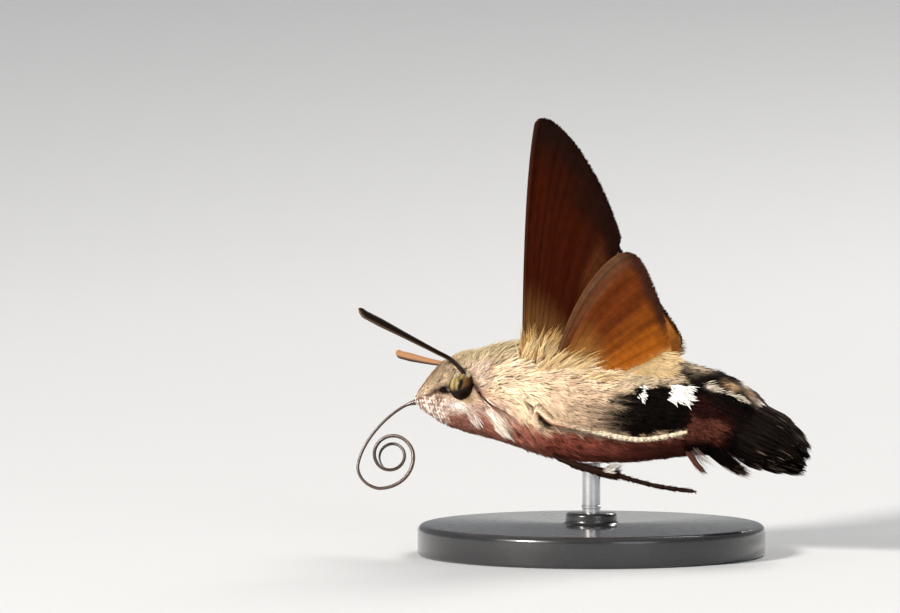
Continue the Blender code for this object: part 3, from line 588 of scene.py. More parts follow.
def open_colour(x, up):
    """Colour of the coat without the painted shade in the fine lines between its parts."""
    level = folded(up)
    points = body_at(x, up)
    ragged = wander(points, 1.1, 5)
    coarse = wander(points, 3.5, 9)
    streaks = wander(points * (0.25, 1, 1), 0.6, 13)
    edge = level + 4.0 * ragged
    xe = x + 0.35 * ragged
    colours = np.ones((*np.shape(x), 3)) * CREAM
    colours = blend(colours, 0.35 + 0.35 * coarse, (0.74, 0.53, 0.36))
    colours = blend(colours, 0.9 * ramp(xe, 9.5, 14) * ramp(-edge, -14, 14), (0.46, 0.325, 0.22))
    # Olive back of head and thorax, grey-brown abdomen
    colours = blend(colours, ramp(edge, 26, 52) * (1 - ramp(xe, 17, 19)), OLIVE)
    colours = blend(colours, 0.85 * ramp(xe, 0.4, 1.6) * (1 - ramp(xe, 4.2, 6.0))
                    * ramp(edge, 4, 22), (0.50, 0.37, 0.245))
    # Painted shade: darker brown along the upper edge of the head's front
    brow = 12 + 18 * x
    colours = blend(colours, 0.75 * ramp(edge, brow, brow + 22) * (1 - ramp(xe, 2.6, 3.8)),
                    (0.20, 0.105, 0.06))
    colours = blend(colours, ramp(xe, 14.5, 18) * ramp(edge, -30, 10), (0.50, 0.39, 0.26))
    colours = blend(colours, ramp(xe, 16.5, 19) * ramp(edge, 45, 70), GREY_BROWN)
    # Pale throat and palps; mauve underside, its colour darkened as painted shade under the body
    colours = blend(colours, (1 - ramp(xe, 6.8, 9.0)) * ramp(-edge, 2, 22), THROAT)
    palp = (1 - ramp(xe, 2.3, 3.2)) * ramp(-edge, 0, 14)
    colours = blend(colours, 0.5 * palp, (0.34, 0.18, 0.125))
    beads = wander(points, 0.36, 17)
    colours = blend(colours, palp * ramp(beads + 0.35 * ragged, -0.15, 0.4), (0.90, 0.79, 0.71))
    colours = blend(colours, (0.95 + 0.25 * streaks) * bump(x, level, 3.35, -24, 0.65, 8),
                    (0.91, 0.87, 0.83))
    under = np.interp(x, MAUVE_EDGE[0], MAUVE_EDGE[1])
    below = ramp(-edge, under - 6, under + 6) * ramp(xe, 2.0, 2.8)
    colours = blend(colours, below, SHADED_MAUVE)
    colours = blend(colours, below * (1 - ramp(xe, 7, 12)), (0.33, 0.125, 0.09))
    colours = blend(colours, below * (1 - ramp(xe, 4.0, 5.0)), (0.27, 0.115, 0.085))
    step = (x - SEGMENT_X) / SEGMENT_STEP
    seam = np.exp(-((step - np.round(step)) * SEGMENT_STEP / 0.13) ** 2) * ramp(x, 9, 10)
    colours = blend(colours, 0.35 * seam * below, (0.06, 0.018, 0.013))
    # Painted shade: near black along the bottom of the abdomen
    colours = blend(colours, 0.9 * ramp(xe, 15.5, 21.5) * ramp(-edge, 44, 62), (0.075, 0.021, 0.015))
    # Soft dark mark before the eye, and a tiny painted highlight in front of it
    colours = blend(colours, 0.75 * bump(x, level, 2.35, 9, 0.75, 7), (0.24, 0.15, 0.10))
    colours = blend(colours, bump(x, level, 1.85, 0, 0.65, 6.5), (0.085, 0.047, 0.033))
    colours = blend(colours, 1.7 * bump(x, level, 2.6, 1.5, 0.60, 7.5), (0.016, 0.008, 0.007))
    # Painted highlight: a tiny white spot just before the eye
    colours = blend(colours, 0.8 * bump(x, level, 2.85, 2, 0.06, 2), WHITE)
    colours = blend(colours, bump(x, level, 1.95, -16, 0.22, 8) * 0.7, (0.30, 0.19, 0.10))
    # Greyer collar with a rusty edge
    edge_x = np.interp(level, [-6, 2, 10, 21, 32], [5.85, 6.0, 6.2, 6.65, 6.95])
    collar = (ramp(x, 4.6, 5.4) * (1 - ramp(xe, edge_x - 0.1, edge_x + 0.15)) * ramp(level, -8, 2)
              * (1 - ramp(level, 32, 44)))
    colours = blend(colours, collar * (0.55 + 0.3 * streaks), (0.56, 0.45, 0.39))
    rust = np.exp(-(from_line(x, level, COLLAR_EDGE) / 0.16) ** 2)
    colours = blend(colours, rust * (0.3 + 0.45 * ramp(ragged, -0.3, 0.5)), (0.34, 0.15, 0.07))
    # Black flank patches and their white tufts
    low = np.interp(x, [14.0, 15.0, 16.5, 18.0, 19.1, 22.7], [-26, -33, -38, -42, -44, -40])
    high = np.interp(x, [15.0, 16.5, 18.4, 20.5, 22.4], [-10, 2, 14, 20, 30])
    side_patch = (ramp(edge, low - 2, low + 4) * (1 - ramp(edge, high - 5, high + 4))
                  * ramp(x + 1.1 * streaks, 13.2, 17.8))
    colours = blend(colours, side_patch, BLACK)
    # Rear of the abdomen: its black starts farther forward on the back
    seam = np.interp(level, [0, 14, 26, 36, 56], [SEAM_X, 22.2, 21.9, 20.95, 20.6])
    colours = blend(colours, ramp(x, seam - 0.15, seam + 0.15), BLACK)
    colours = blend(colours, ramp(x, 22.3, 22.5) * (1 - ramp(x, 25.6, 26.6))
                    * (1 - ramp(edge, 6, 18)), MAROON)
    patch = (ramp(xe, 22.35, 22.6) * (1 - ramp(xe, 25.2, 26.1)) * ramp(edge, -64, -48)
             * (1 - ramp(edge, -25, -14)))
    patch = patch * (0.72 + 0.28 * ramp(coarse, -0.4, 0.4))
    colours = blend(colours, patch, PINK_BROWN)
    for at_x, at_up, wide_x, wide_up, shade in REAR_SPOTS:
        colours = blend(colours, 1.15 * bump(x, edge, at_x, at_up, wide_x, wide_up), shade)
    stripe = np.exp(-(from_line(x, level, REAR_STRIPE) / 0.21) ** 2)
    colours = blend(colours, 1.1 * stripe, (0.66, 0.56, 0.45))
    return np.clip(colours, 0.002, 1.0)


def painted_shade_lines(colours, x, up):
    """Painted shade in the line from snout to eye, the parting behind the head and the gap beside the
    thigh.
    """
    level = folded(up)
    before = colours
    line = np.exp(-(from_line(x, level, PALP_LINE) / 0.10) ** 2)
    colours = blend(colours, 0.8 * line * ramp(x, 0.3, 1.5), (0.13, 0.07, 0.045))
    gap = np.exp(-(from_line(x, level, PARTING) / 0.24) ** 2)
    colours = blend(colours, 1.1 * gap * (0.15 + 0.85 * ramp(-x, -7.2, -5.8)), (0.17, 0.075, 0.055))
    colours = blend(colours, 1.2 * bump(x, level, 5.30, 9, 0.22, 6), (0.03, 0.014, 0.011))
    wide = 0.12 + 0.12 * ramp(x, 9.6, 11.0)
    gap = np.exp(-(from_line(x, level, THIGH_GAP) / wide) ** 2)
    return np.minimum(blend(colours, 1.4 * gap, GAP_SHADE), before)


# Materials

def coloured_material(name, roughness, grain_mm, grain_depth, tone=(0.85, 1.12), sheen=0.0,
                      coat=0.0, specular=0.5, stretch=(1, 1, 1), bump_mm=0.02):
    """Procedural material that takes its markings from the piece and adds fine grain."""
    made = bpy.data.materials.new(name)
    made.use_nodes = True
    nodes, links = made.node_tree.nodes, made.node_tree.links
    shader = nodes["Principled BSDF"]
    shader.inputs["Roughness"].default_value = roughness
    shader.inputs["Specular IOR Level"].default_value = specular
    shader.inputs["Sheen Weight"].default_value = sheen
    shader.inputs["Sheen Roughness"].default_value = 0.4
    shader.inputs["Coat Weight"].default_value = coat
    shader.inputs["Coat Roughness"].default_value = 0.06
    marking = nodes.new("ShaderNodeAttribute")
    marking.attribute_name = "coat"
    place = nodes.new("ShaderNodeTexCoord")
    mapping = nodes.new("ShaderNodeMapping")
    mapping.inputs["Scale"].default_value = stretch
    grain = nodes.new("ShaderNodeTexNoise")
    grain.inputs["Scale"].default_value = 1.0 / (grain_mm * MM)
    grain.inputs["Detail"].default_value = 3.0
    tones = nodes.new("ShaderNodeMapRange")
    tones.inputs["From Min"].default_value = 0.3
    tones.inputs["From Max"].default_value = 0.7
    tones.inputs["To Min"].default_value = tone[0]
    tones.inputs["To Max"].default_value = tone[1]
    mix = nodes.new("ShaderNodeVectorMath")
    mix.operation = "SCALE"
    raised = nodes.new("ShaderNodeBump")
    raised.inputs["Strength"].default_value = grain_depth
    raised.inputs["Distance"].default_value = bump_mm * MM
    links.new(place.outputs["Object"], mapping.inputs["Vector"])
    links.new(mapping.outputs["Vector"], grain.inputs["Vector"])
    links.new(grain.outputs["Fac"], tones.inputs["Value"])
    links.new(marking.outputs["Color"], mix.inputs[0])
    links.new(tones.outputs["Result"], mix.inputs["Scale"])
    links.new(mix.outputs["Vector"], shader.inputs["Base Color"])
    links.new(grain.outputs["Fac"], raised.inputs["Height"])
    links.new(raised.outputs["Normal"], shader.inputs["Normal"])
    return made


fur_look = coloured_material("moth_fur", 0.6, 0.05, 0.3, (0.9, 1.08), specular=0.008)
skin_look = coloured_material("moth_skin", 0.8, 0.09, 0.6, (0.7, 1.05), specular=0.2,
                              stretch=(0.5, 1, 1), bump_mm=0.05)
fan_look = coloured_material("moth_tail_scales", 0.6, 0.06, 0.4, (0.8, 1.2), specular=0.012)
wing_look = coloured_material("moth_wing_scales", 0.9, 0.07, 0.4, (0.82, 1.15),
                              specular=0.0, stretch=(1, 1, 0.5))
eye_look = coloured_material("moth_eye", 0.25, 0.03, 0.35, (0.9, 1.08), coat=0.06,
                             specular=0.08, bump_mm=0.008)
antenna_look = coloured_material("moth_antenna", 0.5, 0.05, 0.5, (0.75, 1.2), specular=0.08)
proboscis_look = coloured_material("moth_proboscis", 0.28, 0.08, 0.3, (0.8, 1.2), coat=0.4)
leg_look = coloured_material("moth_leg", 0.55, 0.05, 0.5, (0.8, 1.15), specular=0.06)


# Skin

def make_skin():
    """One closed skin from snout to tail, inside the outer form by the coat's depth."""
    xs = np.concatenate([np.linspace(0.0, 7.0, 110), np.linspace(7.0, 30.0, 150)[1:]])
    ups = np.linspace(0, 360, 168, endpoint=False)
    x, up = np.meshgrid(xs, ups, indexing="ij")
    level = folded(up)
    grow = -depth_at(x)
    groove = np.exp(-(from_line(x, level, PALP_LINE) / 0.13) ** 2) * ramp(x, 0.5, 1.2)
    grow = grow - 0.16 * groove
    grow = grow - 0.25 * np.exp(-(from_line(x, level, PARTING) / 0.25) ** 2)
    seam = np.exp(-((x - SEAM_X) / 0.16) ** 2)
    grow = grow - 0.12 * seam
    points = body_at(x, up, grow)
    rows, columns = x.shape
    # Painted shade: the skin seen between the hairs is the coat's colour at 0.6
    colours = coat_colour(x, up) * 0.6
    quads = grid_faces(rows, columns, True)[:, [0, 3, 2, 1]]
    uv = body_uv(x, up).reshape(-1, 2)
    flat = points.reshape(-1, 3)
    shown = uv[quads.ravel()]
    wrapped = np.tile(np.arange(columns) == columns - 1, rows - 1)
    closing = np.repeat(wrapped, 4) & (shown[:, 0] < 0.001)
    shown[closing, 0] = 1.0
    first, last = len(flat), len(flat) + 1
    ends = np.array([points[0].mean(0), points[-1].mean(0)])
    k = np.arange(columns)
    n = (k + 1) % columns
    top = (rows - 1) * columns
    cap = np.stack([k, n, np.full(columns, first)], -1)
    lid = np.stack([top + n, top + k, np.full(columns, last)], -1)
    all_uv = np.vstack([uv, [[0.5, 0.0]], [[0.5, 30.0 / 32.0]]])
    corner_uv = np.vstack([shown, all_uv[cap.ravel()], all_uv[lid.ravel()]])
    tones = np.vstack([colours.reshape(-1, 3), colours[0, :1], colours[-1, :1]])
    make_piece("moth_skin", np.vstack([flat, ends]), [quads, cap, lid], skin_look,
               ("head", "palp_left", "palp_right", "thorax", "abdomen_front", "abdomen_rear",
                "tail_fan"), tones, corner_uv)


# Coat

def body_set(count, x_from, x_to, length, width, high, hairs, spread, gather, rings,
             up_from=-90.0, up_to=90.0, tone=0.1, thick=0.4, root=0.5):
    """Set of strands scattered over a length of the body, in its own colours."""
    x, up = spread_over(count, x_from, x_to, up_from, up_to)
    long = np.interp(x, length[0], length[1])
    level = folded(up)
    turn = lie_of_coat(x, up) + 8.0 * wander(body_at(x, up), 2.8, 21)
    lift = high + 0.10 * wander(body_at(x, up), 1.3, 33)
    centres, outward, px, pu, clump = combed(x, up, long, turn, lift, hairs, spread, gather, rings)
    clear = near_eye(centres).min(axis=1) > 1.04
    if x_from < 12:
        centres, px, pu, kept = cut_short(centres, px, pu)
        clear = clear & kept
    centres, outward, px, pu, clump = (a[clear] for a in (centres, outward, px, pu, clump))
    base = coat_colour(px[:, rings - 1], pu[:, rings - 1])
    smooth = ramp(-folded(pu[:, 0]), 36, 50)
    root = root + (0.85 - root) * smooth
    tone = tone * (1 - 0.6 * smooth.mean())
    clump_tone = (1.0 + rng.normal(0, 0.15, len(x)))[clump]
    widths = width * rng.uniform(0.75, 1.25, len(base))
    profile = np.interp(np.arange(rings) / rings, [0, 0.4, 1.0], [0.8, 1.0, 0.45])
    shades = shaded(base, rings, root, 1.12, clump_tone, tone)
    if x_from < 12:
        shades = painted_shade_lines(shades, px, pu)
    return strands(centres, outward, widths, thick * widths, profile, shades,
                   body_uv(px[:, 0], pu[:, 0]))


def cut_short(centres, px, pu):
    """Strands ended where they would cross the parting or the gap, and which of them to keep."""
    rings = px.shape[1] - 1
    rows = np.arange(len(px))[:, None]

    def at_steps(values, t):
        low = np.minimum(t.astype(int), rings - 1)
        part = (t - low).reshape(t.shape + (1,) * (values.ndim - 2))
        return values[rows, low] * (1 - part) + values[rows, low + 1] * part

    t = np.broadcast_to(np.linspace(0, rings, 6 * rings + 1), (len(px), 6 * rings + 1))
    fine_x, level = at_steps(px, t), folded(at_steps(pu, t))
    blocked = ((from_line(fine_x, level, PARTING) < 0.10)
               | (from_line(fine_x, level, THIGH_GAP) < 0.07 + 0.09 * ramp(fine_x, 9.6, 11.0)))
    stop = np.where(blocked.any(axis=1), blocked.argmax(axis=1), 6 * rings)
    ended = t[0, stop][:, None] * np.linspace(0, 1, rings + 1)
    return at_steps(centres, ended), at_steps(px, ended), at_steps(pu, ended), stop > 1


def tuft_set(count, at_x, at_up, wide_x, wide_up, length, width, turn_deg, high, colour, rings=3,
             tip_colour=None, power=0.6, tone=0.07, hairs=4, root=0.6, pinch=0.0):
    """Set of strands of one marked tuft on both flanks."""
    x = at_x + wide_x * rng.uniform(-1, 1, count)
    level = at_up + wide_up * rng.uniform(-1, 1, count)
    up = np.where(np.arange(count) % 2 == 0, level, 180.0 - level)
    turn = turn_deg + rng.normal(0, 3, count)
    centres, outward, px, pu, clump = combed(x, up, np.full(count, float(length)), turn,
                                             high + rng.uniform(-0.1, 0.1, count), hairs, 0.1,
                                             0.3, rings, power=power, scatter_deg=4.0, wave=0.1)
    if at_x < 6:
        centres, px, pu, kept = cut_short(centres, px, pu)
        centres, outward, px, pu, clump = (a[kept] for a in (centres, outward, px, pu, clump))
    # A pinched tuft draws its hair toward the line through its middle
    for flank, middle_up in ((0, at_up), (1, 180.0 - at_up)):
        mine = (clump % 2) == flank
        line = body_at(centres[mine][..., 0], middle_up, 0.0)
        t = (np.linspace(0, 1, rings + 1) ** 1.3)[None, :, None]
        shift = (line - centres[mine]) * pinch * t
        centres[mine] = centres[mine] + shift * (1.0, 1.0, 0.35)
    base = np.ones((len(px), 3)) * colour
    widths = width * rng.uniform(0.75, 1.25, len(px))
    profile = np.interp(np.arange(rings) / rings, [0, 0.4, 1.0], [0.8, 1.0, 0.5])
    shades = shaded(base, rings, root, 1.05, tone=tone)
    if tip_colour is not None:
        pale = rng.uniform(0, 1, len(shades)) < 0.3
        shades[pale, -1] = tip_colour
    return strands(centres, outward, widths, 0.4 * widths, profile, shades,
                   body_uv(px[:, 0], pu[:, 0]))


def wisp_set(count, at, wide, tip, blur, width, colour, tip_colour, side, pale_share=0.4):
    """Set of strands that leave the underside together and end in one point."""
    x = at[0] + wide[0] * rng.uniform(-1, 1, count)
    level = at[1] + wide[1] * rng.uniform(-1, 1, count)
    up = level if side < 0 else 180.0 - level
    root = body_at(x, up, -depth_at(x))
    out = outward_at(x, up)
    end = np.array(tip) * (1, side, 1) + rng.normal(0, 1, (count, 3)) * blur
    start = 0.5 * (root + end) + out * 0.45
    t = np.linspace(0, 1, 5)[None, :, None]
    shorter = rng.uniform(0.72, 1.0, count)[:, None, None]
    t = t * shorter
    centres = ((1 - t) ** 2 * root[:, None] + 2 * t * (1 - t) * start[:, None] + t**2 * end[:, None])
    base = np.ones((count, 3)) * colour
    shades = shaded(base, 4, 0.8, 1.05, tone=0.15)
    pale = rng.uniform(0, 1, count) < pale_share
    shades[pale, -1:] = tip_colour
    widths = width * rng.uniform(0.7, 1.3, count)
    return strands(centres, out, widths, 0.4 * widths, [0.8, 1.0, 0.9, 0.6], shades,
                   body_uv(x, up))


def make_coat():
    face = ([0, 0.6, 1.6, 3.0, 4.5, 6.0], [0.22, 0.32, 0.42, 0.5, 0.65, 0.9])
    trunk = ([5, 7, 10, 14, 18], [1.15, 1.7, 2.0, 2.0, 1.6])
    rear = ([17, 20, 24, 27], [1.3, 1.15, 1.1, 1.4])
    sets = [
        body_set(2100, 0.12, 3.2, face, 0.060, 0.03, 5, 0.10, 0.5, 2, up_from=-12.0, thick=0.35,
                 tone=0.22, root=0.4),
        body_set(2300, 0.12, 3.6, ([0, 4], [0.17, 0.26]), 0.11, 0.0, 4, 0.12, 0.2, 2,
                 up_to=-8.0, thick=0.5, tone=0.26, root=0.3),
        body_set(2200, 2.6, 6.4, face, 0.075, 0.02, 6, 0.13, 0.6, 2, thick=0.35, tone=0.22,
                 root=0.4),
        tuft_set(80, 5.35, -24, 0.42, 20, 1.9, 0.075, -60, 0.16, (0.92, 0.76, 0.65), hairs=8,
                 pinch=0.10, root=0.4, tone=0.2),
        tuft_set(12, 4.0, -29, 0.26, 7, 1.2, 0.05, -78, 0.12, (0.90, 0.76, 0.68), hairs=5,
                 root=0.4, tone=0.2),
    ]
    coat_pieces("coat_head", sets, fur_look)
    sets = [
        body_set(2950, 4.2, 17.4, trunk, 0.185, -0.22, 5, 0.22, 0.45, 2, root=0.5),
        body_set(1750, 4.2, 17.4, trunk, 0.115, 0.0, 9, 0.18, 0.8, 3, root=0.45, tone=0.14),
        body_set(420, 6.0, 16.0, ([5, 7, 10, 14, 18], [1.4, 2.2, 2.6, 2.4, 1.8]), 0.10, 0.12, 9,
                 0.16, 0.9, 3, up_from=-36.0, root=0.35, tone=0.14),
    ]
    coat_pieces("coat_thorax", sets, fur_look)
    sets = [
        body_set(1500, 16.0, 22.4, rear, 0.15, -0.1, 6, 0.2, 0.4, 2),
        body_set(800, 16.0, 22.4, rear, 0.12, 0.03, 6, 0.18, 0.6, 3),
        body_set(1220, 22.1, 27.4, rear, 0.15, 0.0, 6, 0.2, 0.5, 3),
    ]
    coat_pieces("coat_abdomen", sets, fur_look)
    marked = [
        tuft_set(80, 20.7, 14, 0.6, 10, 1.6, 0.15, -24, 0.36, WHITE),
        tuft_set(22, 18.25, 8, 0.16, 7, 0.75, 0.11, -35, 0.28, WHITE),
        tuft_set(80, 24.0, 13, 0.8, 13, 1.8, 0.15, -2, 0.2, BLACK, root=0.9),
        tuft_set(60, 26.2, -30, 0.5, 30, 1.9, 0.15, -2, 0.2, BLACK, root=0.9),
    ]
    for at_x, at_up in ((23.1, 27), (23.7, 26), (24.3, 25.5), (24.9, 28), (25.4, 32)):
        marked.append(tuft_set(12, at_x - 0.3, at_up, 0.25, 2.2, 0.95, 0.10, 3, 0.22,
                               (0.66, 0.57, 0.46), hairs=4, root=0.8))
    blur = (0.16, 0.14, 0.10)
    fine = (0.45, 0.30, 0.30)
    for side in (-1, 1):
        marked += [
            wisp_set(60, (22.5, -83), (0.3, 5), (23.7, 0.5, -2.78), blur, 0.10,
                     (0.40, 0.17, 0.12), (0.50, 0.25, 0.19), side),
            wisp_set(16, (23.0, -78), (0.5, 9), (23.9, 0.8, -1.95), fine, 0.045,
                     (0.62, 0.46, 0.40), (0.80, 0.70, 0.66), side),
            wisp_set(250, (24.6, -74), (0.95, 14), (27.0, 0.55, -2.42), (0.24, 0.22, 0.13), 0.12,
                     BLACK, (0.46, 0.24, 0.18), side, 0.28),
            wisp_set(26, (25.3, -70), (0.7, 10), (26.7, 0.7, -1.75), fine, 0.06,
                     (0.05, 0.03, 0.025), (0.75, 0.66, 0.62), side),
        ]
    coat_pieces("coat_tufts", marked, fur_look)


def make_tail_fan():
    """Long flat scales in tiers from the rear of the body out to the fan's form."""
    sets = []
    for x_from, x_to, reach, inward, width, count in ((26.0, 27.4, 29.3, 0.0, 0.20, 900),
                                                      (26.9, 28.2, 30.2, 0.12, 0.20, 900),
                                                      (27.8, 29.0, 31.0, 0.30, 0.19, 900),
                                                      (28.3, 29.6, 31.2, 0.8, 0.18, 700),
                                                      (28.6, 29.8, 31.3, 1.6, 0.18, 500)):
        x = rng.uniform(x_from, x_to, count)
        up = rng.uniform(0, 360, count)
        lock = np.round(up / 10.0) * 10.0
        gather = up + (lock - up) * 0.75
        far = reach - 0.30 + 0.30 * np.sin(lock * 3.1 + 5.0 * reach) + rng.normal(0, 0.14, count)
        far = np.minimum(far, 31.3)
        root = body_at(x, up, -depth_at(x) - 0.05)
        inner = inward + rng.uniform(-0.12, 0.12, count)
        middle = body_at(0.5 * (x + far), 0.5 * (up + gather), 0.08 - inner, FAN)
        tip = body_at(far, gather, -inner, FAN)
        t = np.linspace(0, 1, 4)[None, :, None]
        centres = ((1 - t) ** 2 * root[:, None] + 2 * t * (1 - t) * middle[:, None]
                   + t**2 * tip[:, None])
        outward = outward_at(np.minimum(x, 29.5), up)
        base = np.ones((count, 3)) * (0.0068, 0.0048, 0.0042)
        top = ramp(folded(up), 20, 60) * (rng.uniform(0, 1, count) < 0.5)
        base = blend(base, top * 0.8, (0.040, 0.026, 0.020))
        shades = shaded(base, 3, 0.9, 1.3, tone=0.3)
        pale = rng.uniform(0, 1, count) < np.where(folded(up) < -35, 0.10, 0.02)
        shades[pale, -1] = (0.34, 0.24, 0.18)
        widths = width * rng.uniform(0.7, 1.3, count)
        sets.append(strands(centres, outward, widths, 0.3 * widths, [0.75, 1.0, 0.85],
                            shades, body_uv(x, up)))
    coat_pieces("coat_tail_fan", sets, fan_look)


def wing_base_set(side, count, x_from, x_to, reach_from, reach_to, slopes, lift_from, lift_to,
                  colour, width=0.11, root_reach=-1.7, turn_deg=0.0):
    """Long hair in locks that rises from the flank over the base of a wing."""
    locks = count // 7
    lock = np.repeat(np.arange(locks), 7)
    x = rng.uniform(x_from, x_to, locks)[lock]
    aside = rng.normal(0, 0.16, len(lock))
    run = rng.uniform(reach_from, reach_to, locks)[lock] - root_reach
    run = run * rng.uniform(0.78, 1.05, len(lock))
    slope = np.interp(x, slopes[0], slopes[1]) + rng.normal(0, 0.22, locks)[lock]
    curl = rng.normal(0, 0.22, locks)[lock] + rng.normal(0, 0.05, len(lock))
    lift = rng.uniform(lift_from, lift_to, locks)[lock] + rng.normal(0, 0.03, len(lock))
    paths = []
    for part, part_lift in ((0.0, -0.15), (0.35, 0.05), (0.72, -0.02), (1.0, -0.12)):
        along = x + aside * (1 - 0.8 * part) + slope * run * part**1.25 + curl * part**2
        px, pr = swept(along, root_reach + run * part, turn_deg)
        paths.append(stroke_at(px, pr, lift + part_lift, side))
    centres = np.stack(paths, axis=1)
    flat = np.zeros(len(lock))
    outward = unit(stroke_at(flat, flat, flat + 1, side) - stroke_at(flat, flat, flat, side))
    base = np.ones((len(lock), 3)) * colour
    widths = width * rng.uniform(0.7, 1.3, len(lock))
    level = 50 + 8 * run / run.max()
    up = level if side < 0 else 180.0 - level
    lock_tone = (1.0 + rng.normal(0, 0.16, locks))[lock]
    return strands(centres, outward, widths, 0.4 * widths, [0.7, 1.0, 0.75],
                   shaded(base, 3, 0.55, 1.15, lock_tone, 0.14), body_uv(x, up), False)


def make_wing_base_hair():
    """Hair on the wing roots: it rises over the forewing and lies back over the hindwing."""
    slopes = ([8.3, 9.5, 11.0, 13.2, 16.0], [0.15, 0.5, 1.1, 1.8, 2.8])
    cream, straw, umber = (0.82, 0.61, 0.34), (0.62, 0.39, 0.15), (0.33, 0.18, 0.06)
    for side, word in ((-1, "left"), (1, "right")):
        sweep = 0.0 if side < 0 else 10.0
        sets = [
            wing_base_set(side, 1190, 8.3, 11.4, -0.9, 1.3, slopes, 0.30, 1.0, cream, 0.045,
                          turn_deg=sweep),
            wing_base_set(side, 770, 8.3, 11.6, -0.4, 2.1, slopes, 0.30, 0.8, straw, 0.036,
                          turn_deg=sweep),
            wing_base_set(side, 910, 9.8, 12.6, -1.0, 0.3, slopes, 1.2, 2.0, cream, 0.042,
                          turn_deg=sweep),
            wing_base_set(side, 700, 10.4, 13.8, -0.8, 1.3, slopes, 1.15, 1.5, straw, 0.035,
                          turn_deg=sweep),
            wing_base_set(side, 220, 9.6, 13.0, -0.6, 1.0, slopes, 1.1, 1.5, umber, 0.05,
                          turn_deg=sweep),
            wing_base_set(side, 770, 12.6, 15.4, -1.6, -0.6, slopes, 1.7, 2.4, PALE_GOLD, 0.042,
                          turn_deg=sweep),
            wing_base_set(side, 260, 8.2, 12.5, -0.7, 1.2, slopes, -0.5, -0.2,
                          (0.36, 0.27, 0.16), 0.09, turn_deg=sweep),
            anal_edge_set(side, 900),
        ]
        coat_pieces("coat_wing_base_" + word, sets, fur_look)


def anal_edge_set(side, count):
    """Pale hair that trails back from the inner edge of a hindwing."""
    u = rng.uniform(0.12, 1.0, count)
    v = rng.uniform(0.86, 1.0, count)
    root = coons("hindwing", u, v)
    turn_deg = FAR_SWEEP_DEG["hindwing"] if side > 0 else 0.0
    size = rng.uniform(0.9, 1.7, count) * (1.0 if side < 0 else 0.4)
    fall = rng.normal(-0.10, 0.10, count)
    steps = []
    for part in (-0.1, 0.4, 0.75, 1.0):
        x = root[:, 0] + size * part
        reach = root[:, 1] + size * part * fall
        px, pr = swept(x, reach, turn_deg)
        steps.append(stroke_at(px, pr, root[:, 2] + 0.10 - 0.10 * part, side))
    centres = np.stack(steps, axis=1)
    flat = np.zeros(count)
    outward = unit(stroke_at(flat, flat, flat + 1, side) - stroke_at(flat, flat, flat, side))
    base = np.ones((count, 3)) * PALE_GOLD
    widths = rng.uniform(0.035, 0.06, count)
    up = np.full(count, 40.0 if side < 0 else 140.0)
    return strands(centres, outward, widths, 0.4 * widths, [0.9, 1.0, 0.8],
                   shaded(base, 3, 0.7, 1.1, tone=0.12), body_uv(root[:, 0], up), False)


# Wings

